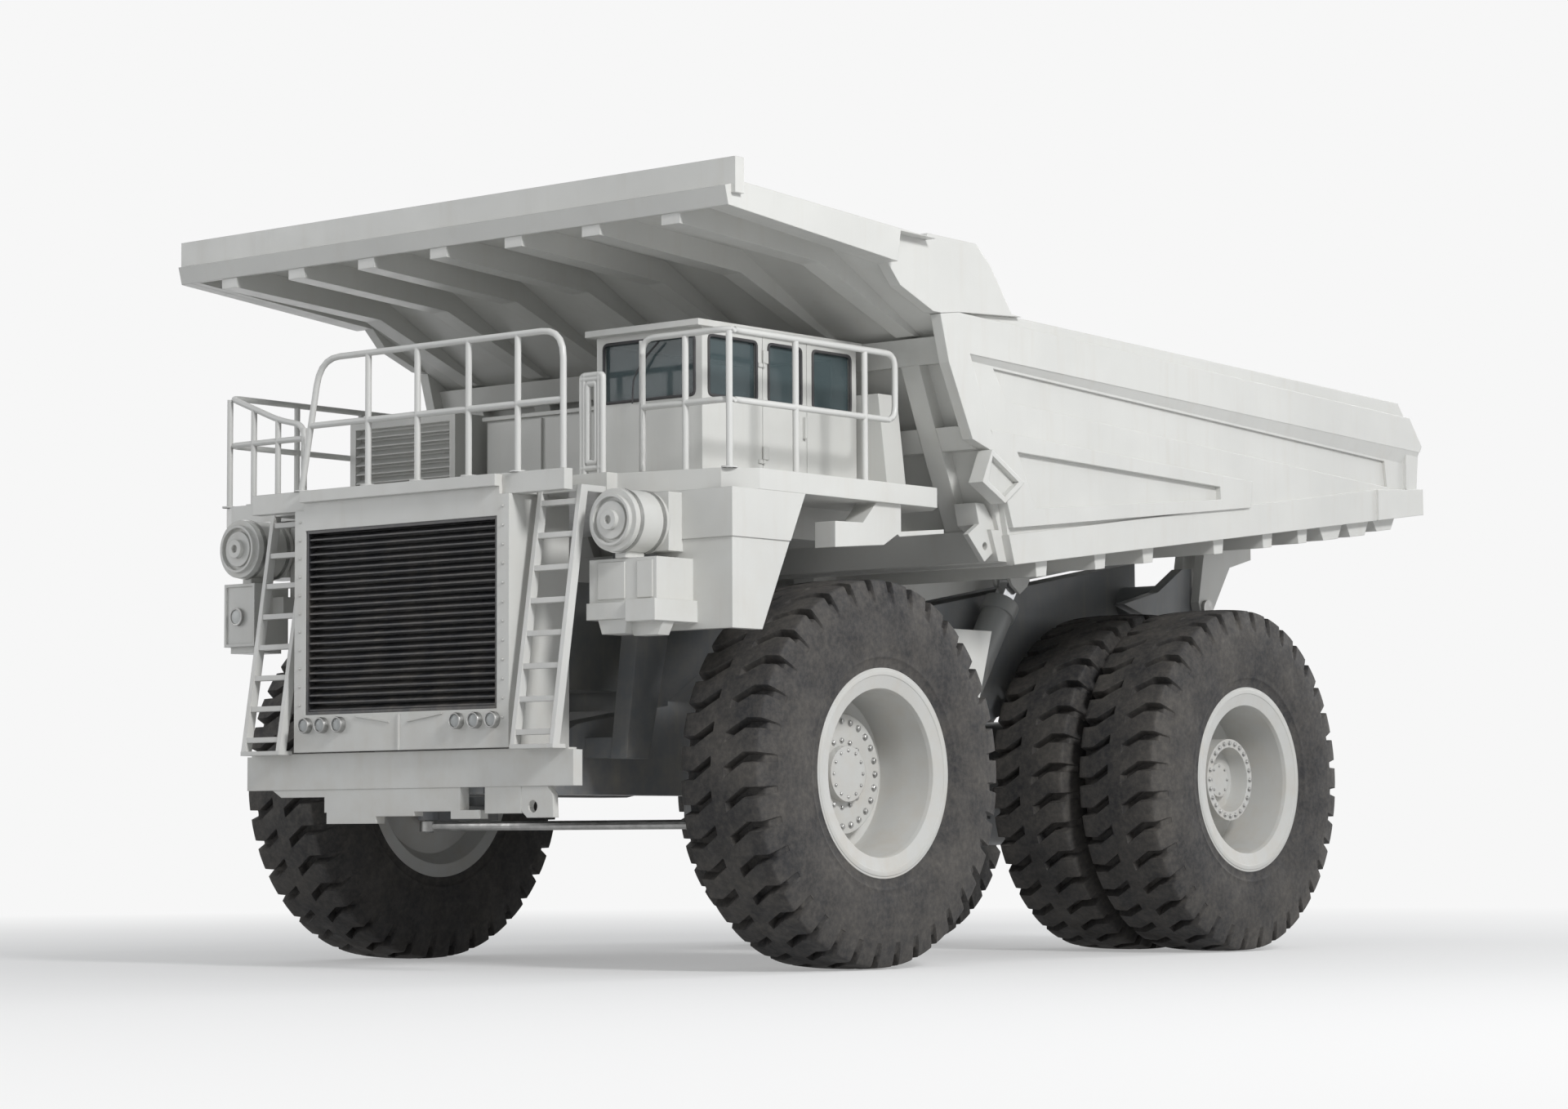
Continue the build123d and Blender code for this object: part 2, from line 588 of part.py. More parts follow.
def body_front_wall():
    """Sloping front wall with its cross bolsters and the ribs that run down from the canopy."""
    x = BODY_X - BODY_WALL - PIECE_GAP
    back = [(y + WALL_T, z) for y, z in WALL_LINE]
    wall = side_plate(WALL_LINE + back[::-1], -x, x)
    bolster = side_plate([(1010, 5700), (930, 5950), (1100, 5970), (1180, 5720)], -x, x)
    low = side_plate([(1370, 4900), (1260, 5120), (1500, 5120), (1590, 4900)], -x, x)
    foot = side_plate([(1800, 3850), (1680, 4150), (1900, 4150), (2000, 3850)], -x, x)
    ribs = [side_plate([(1010, 5710), (1260, 5110), (1700, 4140), (1900, 4000), (1500, 5010), (1150, 5730)],
                       rx - RIB_W / 2, rx + RIB_W / 2) for rx in RIB_XS]
    lug = side_plate([(1380, 4090), (1640, 3840), (1860, 3990), (1940, 4100), (1760, 4180), (1560, 4200)],
                     LUG_X - LUG_T, LUG_X)
    lug -= cross_rod(*LUG_HOLE, 38, LUG_X - 2 * LUG_T, LUG_X + LUG_T)
    arm = side_plate([(1500, 4400), (1640, 4400), (1850, 4160), (1750, 4100), (1560, 4190)],
                     LUG_X - 260, LUG_X)
    return fuse([wall, bolster, low, foot] + ribs + [lug, right_of(lug), arm, right_of(arm)])


def body_canopy():
    """Canopy over the cab: plate, ribs below it, front fascia with its lip, and side cheeks."""
    plate_top = [(-2440, 6910), (-430, 6800), (1150, 6020)]
    plate_low = [(1060, 5972), (-450, 6740), (-2440, 6850)]
    plate = side_plate(plate_top + plate_low, BODY_WALL - BODY_X, BODY_X - BODY_WALL)
    ribs = [side_plate([(-2440, 6860), (-450, 6750), (1090, 5985), (940, 5975), (-480, 6520), (-2440, 6640)],
                       rx - RIB_W / 2, rx + RIB_W / 2) for rx in RIB_XS]
    nose, lean = CANOPY_NOSE_Y, 45
    fascia = side_plate([(nose, 6910), (-2420, 6910), (-2420, 6740), (nose + lean, 6740)],
                        -FASCIA_X, FASCIA_X)
    lip = block(-LIP_X, LIP_X, -2420, -2300, 6850, 7170)
    sides = []
    for s in (1, -1):
        a, b = sorted((s * (BODY_X - 20), s * FASCIA_X))
        sides.append(side_plate([(nose + lean, 6740), (-50, 6520), (0, 6810), (530, 6800), (-2280, 6970),
                                 (nose, 6910)], a, b))
        a, b = sorted((s * (BODY_X - BODY_WALL), s * BODY_X))
        sides.append(side_plate([(-2440, 6740), (-50, 6520), (140, 6330), (640, 6140),
                                 (760, 6135), (1040, 6171), (2050, 6231), (1890, 6240), (1550, 6670),
                                 (1320, 6860), (560, 6870), (530, 6800), (-2300, 6970)], a, b))
    return fuse([plate, fascia, lip] + ribs + sides)


# Nose and bumper

def radiator_housing():
    """Radiator hood: side cheeks, header and lower panel round the grille opening."""
    y0, y1 = HOUSING_Y
    z0, z1 = HOUSING_Z
    wall = HOUSING_WALL
    hood = block(-HOUSING_X, HOUSING_X, y0, y1, z0, z1)
    hood -= block(-GRILLE_X, GRILLE_X, y0 - 10, y0 + 160, *GRILLE_Z)
    hood -= block(wall - HOUSING_X, HOUSING_X - wall, y0 + 220, y1 + 10, z0 - 10, z1 - wall)
    top = DECK_TOP - 10
    x = HOUSING_X - 120
    lip = block(-x, x, y0 - 60, y0 + 20, top - 110, top)
    band = block(-x, x, y0, DECK_FRONT_Y - PIECE_GAP, z1 - wall, top)
    seam = block(-12, 12, y0 - 12, y0 + 10, z0, GRILLE_Z[0] - 20)
    vee = [front_plate([(s * 120, 2300), (s * 560, 2360), (s * 560, 2345), (s * 120, 2285)], y0 - 12, y0 + 10)
           for s in (1, -1)]
    return fuse([hood, band, lip, seam] + vee)


def grille():
    """Grille frame with its louvres."""
    y = HOUSING_Y[0]
    x = GRILLE_X - PIECE_GAP
    z0, z1 = GRILLE_Z[0] + PIECE_GAP, GRILLE_Z[1] - PIECE_GAP
    frame = block(-x, x, y + 10, y + 150, z0, z1) - block(-x + 30, x - 30, y, y + 120, z0 + 30, z1 - 30)
    pitch = (z1 - z0 - 60) / LOUVRE_COUNT
    slats = []
    for i in range(LOUVRE_COUNT):
        z = z0 + 30 + pitch * i
        slats.append(side_plate([(y + 20, z + 4), (y + 20, z + 18), (y + 125, z + pitch - 4),
                                 (y + 125, z + pitch - 18)], -x + 20, x - 20))
    return fuse([frame] + slats)


def front_bumper():
    """Bumper beam, the lower beam with its keels, the left tow lug and the lip on the right."""
    z0, z1 = BUMPER_Z
    y0, y1 = BUMPER_Y, -2750 - PIECE_GAP
    beam = block(-BUMPER_X, BUMPER_X, y0, y1, z0, z1)
    shelf = block(-BUMPER_X + 60, BUMPER_X - 60, y0, y1 - 10, z1 - 20, z1 + 20)
    low_front = y0 + 5
    low = [block(x0, x1, low_front, y1, bottom, top)
           for x0, x1, bottom, top in ((-1060, 720, 1465, z0 + 10), (-1030, -370, 1360, 1475),
                                       (-380, 130, 1425, 1475), (600, 960, 1395, 1475))]
    box = block(1030, 1480, low_front, y0 + 80, 1440, z0 + 5)
    lug = front_plate([(1470, z0 + 5), (1470, 1470), (1550, 1400), (1870, 1400), (1860, 1600),
                       (1800, z0 + 5)], y0 + 10, y0 + 80)
    lug -= rod((TOW_X, y0 - 30, TOW_Z), (TOW_X, y1, TOW_Z), TOW_R)
    lip = front_plate([(-1780, z0 + 5), (-1650, 1610), (-1050, 1610), (-1050, z0 + 5)], low_front, y0 + 80)
    return fuse([beam, shelf, box, lug, lip] + low)


def headlamps():
    """Three round lamps on each side of the lower panel."""
    y = HOUSING_Y[0]
    lamps = [rod((s * x, y - 55, 2280), (s * x, y - PIECE_GAP, 2280), 75)
             for s in (1, -1) for x in (770, 1000, 1220)]
    return Compound(lamps)


def ladder():
    """Boarding ladder on the left: two stringers that lean back, with treads between."""
    (y0, z0), (y1, z1) = LADDER_FOOT, LADDER_HEAD
    x0, x1 = LADDER_X
    pieces = [side_plate([(y0 - 40, z0), (y0 + 50, z0), (y1 + 50, z1), (y1 - 40, z1)], x, x + 50)
              for x in (x0, x1 - 50)]
    for i in range(RUNG_COUNT):
        t = (i + 0.5) / RUNG_COUNT
        y, z = y0 + (y1 - y0) * t, z0 + (z1 - z0) * t
        pieces.append(block(x0 + 40, x1 - 40, y - 30, y + 50, z - 25, z + 25))
    pieces.append(block(x0, x1, y0 - 40, y0 + 130, z0, z0 + 40))
    pieces.append(block(x0, x1, y1 - 40, HATCH_Y - PIECE_GAP, z1 - 60, z1))
    return fuse(pieces)


def air_cleaner(side):
    """Round intake can with its stepped front, saddle and rear box."""
    x, z, r = 2440, 4020, 280
    front, back = -2740, -2250
    can = rod((x, front + 40, z), (x, back, z), r)
    rim = rod((x, front, z), (x, front + 60, z), r - 50) - rod((x, front - 10, z), (x, front + 45, z), r - 75)
    dome = rod((x, front + 15, z), (x, front + 60, z), r - 110)
    nose = rod((x, front - 30, z), (x, front + 60, z), 90) - rod((x, front - 40, z), (x, front + 10, z), 38)
    box = block(2250, 2710, back - 10, -1900, 3760, 4290)
    neck = block(x - 60, x + 60, -2600, -2350, 3690 + PIECE_GAP, z)
    shape = fuse([can, rim, dome, nose, box, neck])
    return shape if side > 0 else right_of(shape)


BOX_TOP = 3690
FENDER_X = 3190
FENDER_T = 100


def fender_box():
    """Left box under the deck ahead of the wheel, with its stepped tray, bracket and side panel."""
    top = DECK_TOP - DECK_T - PIECE_GAP
    box = block(2030, FENDER_X, -2560, -2080, 3300, BOX_TOP)
    box -= block(2140, 2460, -2570, -2535, 3330, BOX_TOP - 30)
    box -= block(2610, 2790, -2570, -2535, 3330, BOX_TOP - 30)
    tray = block(2030, 2540, -2600, -2080, 3150, 3300)
    step = block(2530, FENDER_X + 50, -2640, -2080, 3120, 3315)
    bracket = front_plate([(2440, 3130), (2860, 3130), (2790, 3000), (2510, 3000)], -2500, -2350)
    foot = front_plate([(2150, 3160), (2500, 3160), (2480, 3020), (2200, 3020)], -2580, -2350)
    skin_x = FENDER_X + FENDER_T
    panel = side_plate([(-2750, top), (-1020, top), (-1630, 3060), (-2650, 3060)], FENDER_X, skin_x)
    rib = block(skin_x - 5, skin_x + 12, -2330, -2300, 3070, 3560)
    web = block(2850, FENDER_X + 10, -2400, -1950, BOX_TOP - 10, top)
    return fuse([box, tray, step, bracket, foot, panel, rib, web])


def lamp_box():
    """Narrow box on the right that hangs from the deck and carries one round lamp."""
    top = DECK_TOP - DECK_T - PIECE_GAP
    box = block(-2720, -2290, -2640, -2200, 3080, BOX_TOP)
    box -= block(-2690, -2320, -2650, -2625, 3110, BOX_TOP - 30)
    foot = block(-2690, -2320, -2580, -2260, 3020, 3090)
    lamp = rod((-2530, -2655, 3370), (-2530, -2600, 3370), 82)
    hanger = block(-2240, -2140, -2220, -1950, 3400, top) + block(-2300, -2140, -2400, -2150, 3400, 3560)
    return fuse([box, foot, lamp, hanger])


# Deck

def deck():
    """Deck plate with the cut-out that the cab stands in."""
    z0, z1 = DECK_TOP - DECK_T, DECK_TOP
    front = DECK_FRONT_Y
    outline = [(-2040, front), (2040, front), (2040, -2200), (3060, -1950), (DECK_X, -1700), (DECK_X, 900),
               (3060, 1140), (-3060, 1140), (-DECK_X, 900), (-DECK_X, -2100), (-3060, -2250), (-2040, -2250)]
    plate = plan_plate(outline, z0, z1)
    gap = PIECE_GAP
    for s in (1, -1):
        a, b = sorted((s * (LADDER_X[0] - 20), s * (LADDER_X[1] + 20)))
        plate -= block(a, b, front + 110, HATCH_Y, z0 - 10, z1 + 10)
        a, b = sorted((s * (DECK_X - 300), s * (DECK_X - 60)))
        bracket = side_plate([(-560, 4100), (-150, 4110), (60, z0 + 10), (420, z0 + 10), (420, 4060),
                              (160, 3920), (-560, 3860)], a, b)
        guard = side_plate([(20, z0 + 10), (180, 4200), (420, 4060), (1080, 4120), (1080, 4080),
                            (400, 4010), (140, 4170)], a, b)
        plate = plate.fuse(bracket, guard)
    (x0, x1), (y0, y1) = CAB_X, CAB_Y
    return plate.clean() - block(x0 - gap, x1 + gap, y0 - gap, y1 + gap, z0 - 10, z1 + 10)


def deck_supports():
    """Front posts and rear legs that carry the deck and the cab on the frame."""
    solids = []
    under = DECK_TOP - DECK_T - PIECE_GAP
    leg = block(*LEG_X, 900, 1080, LEG_PAD_Z + PIECE_GAP, under)
    for s in (1, -1):
        top = CAB_Z[0] - PIECE_GAP if s > 0 else under
        line = [(-1430, 1950), (-1120, 1950), (-850, 3060), (-850, top), (-1280, top), (-1280, 3060)]
        post = side_plate(line, *POST_X)
        foot = block(RAIL_X[1] + PIECE_GAP, POST_X[0] + 10, -1400, -1130, 1960, 2150)
        half = [fuse([post, foot]), leg]
        solids += half if s > 0 else [right_of(piece) for piece in half]
    return Compound(solids)


def rail_loop(points, radius=RAIL_R):
    """Bars joined end to end through the points of a handrail."""
    return [long_bar(a, b, radius, radius * 0.35) for a, b in pairs(points)]


def round_corner(corner, first, last, reach, steps=3):
    """Points round a corner of a handrail, from the first side to the last."""
    c, a, b = Vector(*corner), Vector(*first), Vector(*last)
    u, v = (a - c).normalized() * reach, (b - c).normalized() * reach
    points = []
    for i in range(steps + 1):
        t = radians(90 * i / steps)
        p = c + u * (1 - sin(t)) + v * (1 - cos(t))
        points.append((p.X, p.Y, p.Z))
    return points


def railing_centre():
    """Handrail across the hood with a leaning left post and a rounded right corner."""
    y, z0, z1 = DECK_FRONT_Y + 45, DECK_TOP + PIECE_GAP, RAIL_TOP
    top = [(-1150, y, z1)] + round_corner((1990, y, z1), (0, y, z1), (1990, y, z0), 260) + [(1990, y, z0)]
    bars = rail_loop([(-1400, y, z0 + 30)] + top[:-1])
    bars += [bar((1990, y, z0), (1990, y, z1 - 250), RAIL_R)]
    bars += [block(-1450, -1350, y - 40, y + 40, z0, z0 + 25)]
    bars += [bar((-1280, y, RAIL_MID), (1990, y, RAIL_MID), RAIL_R)]
    bars += [bar((x, y, z0), (x, y, z1), RAIL_R) for x in (-500, 150, 810, 1430)]
    gate = block(1700, 1980, -2330, -2290, z0, 5410) - block(1770, 1910, -2340, -2280, 4580, 5330)
    return Compound([fuse(bars), gate])


def railing_left():
    """Handrail of the left deck: front run, side run and a half height loop at its end."""
    x, y, z0, z1 = 3100, -1880, DECK_TOP + PIECE_GAP, RAIL_TOP
    end = 520
    top = [(2060, y, z0 + 100), (2060, y, z1), (x, y, z1)]
    loop = round_corner((x, end, z1), (x, 0, z1), (x, end, RAIL_MID), 140)
    loop += round_corner((x, end, RAIL_MID), (x, end, z1), (x, 0, RAIL_MID), 140)
    bars = rail_loop(top + loop + [(x, y, RAIL_MID), (2060, y, RAIL_MID)])
    for px, py in ((2060, y), (2580, y), (x, y), (x, -950), (x, 60)):
        bars.append(bar((px, py, z0), (px, py, z1), RAIL_R))
    return fuse(bars)


def railing_right():
    """Handrail of the right deck, with its top rail falling towards the hood."""
    x, y, z0, z1 = -3200, -2150, DECK_TOP + PIECE_GAP, 5600
    bars = rail_loop([(-2130, y, z0 + 100), (-2130, y, 5250), (-2500, y, 5330), (x, y, z1), (x, 520, z1),
                      (x, 520, z0 + 100)])
    bars.append(bar((-2130, y, RAIL_MID), (x, y, RAIL_MID), RAIL_R))
    bars.append(bar((x, y, RAIL_MID), (x, 520, RAIL_MID), RAIL_R))
    for px, pz in ((-2130, 5200), (-2500, 5330), (-2850, 5460), (x, z1)):
        bars.append(bar((px, y, z0), (px, y, pz), RAIL_R))
    bars += [bar((x, py, z0), (x, py, z1), RAIL_R) for py in (-1250, -360, 520)]
    return fuse(bars)


# Cab

# Window openings of the cab: wall, from and to along the wall
WINDOWS = (("front", CAB_X[0] + 90, CAB_X[1] - 90), ("left", CAB_Y[0] + 90, DOOR_Y[0] - 90),
           ("left", DOOR_Y[1] + 90, CAB_Y[1] - 90), ("right", CAB_Y[0] + 90, -360),
           ("right", -280, CAB_Y[1] - 90), ("rear", CAB_X[0] + 250, CAB_X[1] - 250))


def window_block(wall, a, b, depth, inset=0.0):
    """The opening of one cab window, or the pane in it when it is thinner and inset."""
    z0, z1 = WINDOW_Z[0] + inset, WINDOW_Z[1] - inset
    a, b = a + inset, b - inset
    starts = {"front": CAB_Y[0], "rear": CAB_Y[1] - CAB_WALL, "left": CAB_X[1] - CAB_WALL, "right": CAB_X[0]}
    near = starts[wall] + (CAB_WALL - depth) / 2
    far = near + depth
    if wall in ("front", "rear"):
        return block(a, b, near, far, z0, z1)
    return block(near, far, a, b, z0, z1)


def cab_shell():
    """Hollow cab with its windows and door opening cut, a roof that overhangs and hinge halves."""
    (x0, x1), (y0, y1), (z0, z1) = CAB_X, CAB_Y, CAB_Z
    wall = CAB_WALL
    shell = block(x0, x1, y0, y1, z0, z1 - 60)
    shell -= block(x0 + wall, x1 - wall, y0 + wall, y1 - wall, z0 + wall, z1 - 120)
    roof = block(x0 - 50, x1 + 50, y0 - 110, y1 + 30, z1 - 60, z1)
    shell = shell.fuse(roof)
    for wall_name, a, b in WINDOWS:
        shell -= window_block(wall_name, a, b, wall + 20)
    (dy0, dy1), (dz0, dz1), gap = DOOR_Y, DOOR_Z, DOOR_GAP
    shell -= block(x1 - wall - 10, x1 + 10, dy0 - gap, dy1 + gap, dz0 - gap, dz1 + gap)
    halves = []
    for z in HINGE_Z:
        axle = (x1 + HINGE_R, DOOR_Y[0])
        halves.append(rod((*axle, z - 40), (*axle, z - RUN_GAP), HINGE_R - 4))
        halves.append(block(x1 - 5, x1 + 12, DOOR_Y[0] - 70, DOOR_Y[0] - 2, z - 40, z - RUN_GAP))
    return fuse([shell] + halves)


def cab_glass():
    """Panes in the cab's windows."""
    panes = [window_block(name, a, b, GLASS_T, PIECE_GAP) for name, a, b in WINDOWS]
    return Compound(panes)


def cab_door():
    """Door as thick as the cab's wall, with its window, hinge barrels and grip."""
    x1 = CAB_X[1]
    slab = block(x1 - CAB_WALL, x1, *DOOR_Y, *DOOR_Z)
    slab -= block(x1 - CAB_WALL - 10, x1 + 10, DOOR_Y[0] + 80, DOOR_Y[1] - 80, *WINDOW_Z)
    hinges = []
    for z in HINGE_Z:
        hinges.append(rod((x1 + HINGE_R, DOOR_Y[0], z), (x1 + HINGE_R, DOOR_Y[0], z + 120), HINGE_R))
        hinges.append(block(x1 - 5, x1 + 12, DOOR_Y[0], DOOR_Y[0] + 70, z, z + 120))
    grip = block(x1 - 5, x1 + 35, DOOR_Y[1] - 60, DOOR_Y[1] - 30, 4950, 5150)
    return fuse([slab] + hinges + [grip])


def door_glass():
    mid = CAB_X[1] - CAB_WALL / 2
    gap = PIECE_GAP
    return block(mid - GLASS_T / 2, mid + GLASS_T / 2, DOOR_Y[0] + 80 + gap, DOOR_Y[1] - 80 - gap,
                 WINDOW_Z[0] + gap, WINDOW_Z[1] - gap)


def driver_seat():
    """Driver's seat on its pedestal."""
    x, y, z = 1800, -250, CAB_Z[0] + CAB_WALL + PIECE_GAP
    foot = block(x - 150, x + 150, y - 150, y + 200, z, z + 430)
    cushion = block(x - 260, x + 260, y - 280, y + 250, z + 420, z + 540)
    back = side_plate([(y + 150, z + 530), (y + 260, z + 530), (y + 380, z + 1200), (y + 280, z + 1200)],
                      x - 240, x + 240)
    return fuse([foot, cushion, back])


def steering_column():
    """Column and wheel in front of the driver's seat."""
    x, y, z = 1800, -1050, CAB_Z[0] + CAB_WALL + PIECE_GAP
    stand = block(x - 90, x + 90, y - 120, y + 60, z, z + 700)
    column = fuse([stand, bar((x, y, z + 650), (x, y + 180, z + 900), 45)])
    plane = Plane(origin=(x, y + 180, z + 900), z_dir=(0, 180, 250))
    ring = extrude(plane * (RegularPolygon(230, 16) - RegularPolygon(195, 16)), 30)
    spokes = [plane * (Rot(0, 0, a) * Pos(0, 0, 12) * Box(410, 40, 24)) for a in (0, 90)]
    return fuse([column, ring] + spokes)


# Cabinets, tanks and engine

def control_cabinet():
    """Electric cabinet in the middle of the deck, with three doors, and a low one behind the cab."""
    x0, x1, y0, y1 = -1300, 1080, -450, 600
    z0, z1 = DECK_TOP + PIECE_GAP, 5400
    body = block(x0, x1, y0, y1, z0, z1)
    step = (x1 - x0) / 3
    doors = [block(x0 + step * i + 30, x0 + step * (i + 1) - 30, y0 - 25, y0 + 10, z0 + 80, z1 - 60)
             for i in range(3)]
    cap = block(x0 - 30, x1 + 30, y0 - 40, y1 + 30, z1 - 40, z1)
    rear_y = (CAB_Y[1] + 60, 1100)
    rear = front_plate([(1250, z0), (2780, z0), (2670, z1 + 40), (1250, z1 + 40)], *rear_y)
    return Compound([fuse([body, cap] + doors), rear])


def retarder_box():
    """Braking resistor box on the right deck, with its air slats."""
    x0, x1, y0, y1 = -3000, -1500, -700, 600
    z0, z1 = DECK_TOP + PIECE_GAP, 5450
    body = block(x0, x1, y0, y1, z0, z1) - block(x0 + 80, x1 - 80, y0 - 10, y0 + 80, z0 + 100, z1 - 80)
    slats = []
    for z in range(int(z0) + 130, int(z1) - 130, 92):
        slats.append(side_plate([(y0 + 5, z), (y0 + 5, z + 14), (y0 + 85, z + 74), (y0 + 85, z + 60)],
                                x0 + 70, x1 - 70))
    return fuse([body] + slats)


def engine_block():
    """Engine and generator as one plain mass on the frame."""
    block_shape = block(-430, 430, -1900, 1750, 2620, 3650)
    return fuse([block_shape, block(-520, 520, -300, 300, 2440 + PIECE_GAP, 2700)])


def tank():
    """Left tank between the wheels, on two arms from the frame."""
    outline = [(2050, 3270), (3100, 3270), (2780, 2250), (2480, 2250), (2480, 2700), (2050, 3050)]
    body = side_plate(outline, 1400, 2300)
    arms = [block(RAIL_X[1] + PIECE_GAP, 1410, 2520, 2700, z, z + 120) for z in (2350, 2720)]
    return fuse([body] + arms)


def main():
    os.makedirs("parts", exist_ok=True)
    shift = Pos(0, -(NOSE_Y + TAIL_Y) / 2, 0)
    nodes = {}
    one_tyre = tyre()
    sides = (("left", 1), ("right", -1))
    for name, side in sides:
        place = (lambda shape: shape) if side > 0 else right_of
        nodes[f"tyre_front_{name}"] = place(Pos(FRONT_X, 0, TYRE_R) * one_tyre)
        nodes[f"rim_front_{name}"] = place(front_rim())
        nodes[f"knuckle_{name}"] = place(knuckle())
        nodes[f"front_strut_{name}"] = place(front_strut())
        twins = [Pos(REAR_OUTER_X - TWIN_STEP * k, WHEELBASE, TYRE_R) * one_tyre for k in (0, 1)]
        nodes[f"tyres_rear_{name}"] = place(Compound(twins))
        nodes[f"rim_rear_{name}"] = place(rear_rim())
        nodes[f"rear_strut_{name}"] = place(rear_strut())
        nodes[f"hoist_barrel_{name}"] = place(hoist_barrel())
        nodes[f"hoist_rod_{name}"] = place(hoist_rod())
        nodes[f"body_side_{name}"] = place(body_side())
        nodes[f"ladder_{name}"] = place(ladder())
        nodes[f"air_cleaner_{name}"] = air_cleaner(side)
        nodes[f"fender_box_{name}"] = fender_box() if side > 0 else lamp_box()
    nodes["tie_rod"] = tie_rod()
    nodes["rear_axle"] = rear_axle()
    nodes["main_frame"] = main_frame()
    nodes["pivot_pins"] = pivot_pins()
    nodes["body_floor"] = body_floor()
    nodes["body_front_wall"] = body_front_wall()
    nodes["body_canopy"] = body_canopy()
    nodes["radiator_housing"] = radiator_housing()
    nodes["grille"] = grille()
    nodes["front_bumper"] = front_bumper()
    nodes["headlamps"] = headlamps()
    nodes["deck"] = deck()
    nodes["deck_supports"] = deck_supports()
    nodes["railing_centre"] = railing_centre()
    nodes["railing_left"] = railing_left()
    nodes["railing_right"] = railing_right()
    nodes["cab_shell"] = cab_shell()
    nodes["cab_glass"] = cab_glass()
    nodes["cab_door"] = cab_door()
    nodes["door_glass"] = door_glass()
    nodes["driver_seat"] = driver_seat()
    nodes["steering_column"] = steering_column()
    nodes["control_cabinet"] = control_cabinet()
    nodes["retarder_box"] = retarder_box()
    nodes["engine_block"] = engine_block()
    nodes["tank_left"] = tank()
    nodes["tank_right"] = right_of(tank())
    for name, shape in nodes.items():
        export_step(shift * shape, f"parts/{name}.step")
    print(len(nodes), "nodes")


main()
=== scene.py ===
# %% [markdown]
# A mining dump truck, dressed in Blender.
# The solid model gives every piece its place and size. This file adds what makes the truck look
# real: tread on the tyres, paint with dust and chips, glass, lamps and small hardware.
# It can be read from top to bottom, one cell after another.

# %% Open the frame
import bpy
import json
import numpy as np
from mathutils import Matrix, Vector


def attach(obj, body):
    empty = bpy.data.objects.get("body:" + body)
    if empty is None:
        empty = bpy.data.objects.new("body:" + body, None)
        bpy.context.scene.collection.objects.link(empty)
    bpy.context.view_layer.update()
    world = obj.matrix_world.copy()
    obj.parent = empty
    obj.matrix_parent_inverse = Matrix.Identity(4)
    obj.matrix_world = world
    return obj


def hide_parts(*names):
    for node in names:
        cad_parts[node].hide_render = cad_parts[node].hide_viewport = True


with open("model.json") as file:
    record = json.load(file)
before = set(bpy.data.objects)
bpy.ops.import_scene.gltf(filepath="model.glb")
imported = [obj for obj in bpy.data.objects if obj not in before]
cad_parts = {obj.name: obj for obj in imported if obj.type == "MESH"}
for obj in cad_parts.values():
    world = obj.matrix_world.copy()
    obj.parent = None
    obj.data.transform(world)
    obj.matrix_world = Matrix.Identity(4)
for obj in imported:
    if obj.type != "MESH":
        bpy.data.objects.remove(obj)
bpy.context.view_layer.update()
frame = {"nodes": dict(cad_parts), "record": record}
nodes = frame["nodes"]

# %% [markdown]
# The shared frame has its origin on the ground under the middle of the truck. Most places below
# are written from the front axle, as on a maker's drawing, so one value moves them.

# %% Driving sizes in metres
FRONT_AXLE_Y = -3.315
WHEELBASE = 6.35
TYRE_R = 1.80
FRONT_TYRE_X = 2.87
REAR_TYRE_X = (2.76, 1.64)
SIDES = (("left", 1.0), ("right", -1.0))
AHEAD = (0, -1, 0)


def at(x, y, z):
    """A place given from the front axle, in the row's frame."""
    return np.array([x, y + FRONT_AXLE_Y, z])


# %% [markdown]
# Most new pieces are surfaces over two parameters. The points of such a surface form a grid of
# rows and columns, so the faces follow from the indices alone and need no loop over vertices.
# Writing the arrays with foreach_set is the fastest way to hand them to Blender.

# %% Surfaces from grids of points
def grid_quads(rows, cols, wrap_rows=False, wrap_cols=False):
    """Quads of a grid: each joins a point to its neighbours in the next row and column."""
    r = np.arange(rows if wrap_rows else rows - 1)
    c = np.arange(cols if wrap_cols else cols - 1)
    rr, cc = np.meshgrid(r, c, indexing="ij")
    r2, c2 = (rr + 1) % rows, (cc + 1) % cols
    corners = [rr * cols + cc, r2 * cols + cc, r2 * cols + c2, rr * cols + c2]
    return np.stack(corners, -1).reshape(-1, 4)


def mesh_from_arrays(name, points, quads):
    """A mesh object whose vertices and quads come from whole arrays."""
    mesh = bpy.data.meshes.new(name)
    points = np.asarray(points, np.float32).reshape(-1, 3)
    quads = np.asarray(quads, np.int32).reshape(-1, 4)
    mesh.vertices.add(len(points))
    mesh.vertices.foreach_set("co", points.ravel())
    mesh.loops.add(quads.size)
    mesh.loops.foreach_set("vertex_index", quads.ravel())
    mesh.polygons.add(len(quads))
    mesh.polygons.foreach_set("loop_start", np.arange(0, quads.size, 4, dtype=np.int32))
    mesh.update(calc_edges=True)
    mesh.validate()
    obj = bpy.data.objects.new(name, mesh)
    bpy.context.scene.collection.objects.link(obj)
    return obj


def joined(parts):
    """Several (points, quads) pairs as one pair."""
    points, quads, start = [], [], 0
    for p, q in parts:
        p = np.asarray(p, float).reshape(-1, 3)
        points.append(p)
        quads.append(np.asarray(q) + start)
        start += len(p)
    return np.concatenate(points), np.concatenate(quads)


def shade_smooth(obj, angle=30.0):
    """Smooth shading that keeps edges sharper than an angle in degrees."""
    obj.data.polygons.foreach_set("use_smooth", np.ones(len(obj.data.polygons), bool))
    obj.data.set_sharp_from_angle(angle=np.radians(angle))
    return obj


def finish_piece(obj, body, material, replaces=()):
    """Give a new piece its material, the body it rides on and the nodes it stands for."""
    obj.data.materials.clear()
    obj.data.materials.append(material)
    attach(obj, body)
    if replaces:
        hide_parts(*replaces)
    return obj


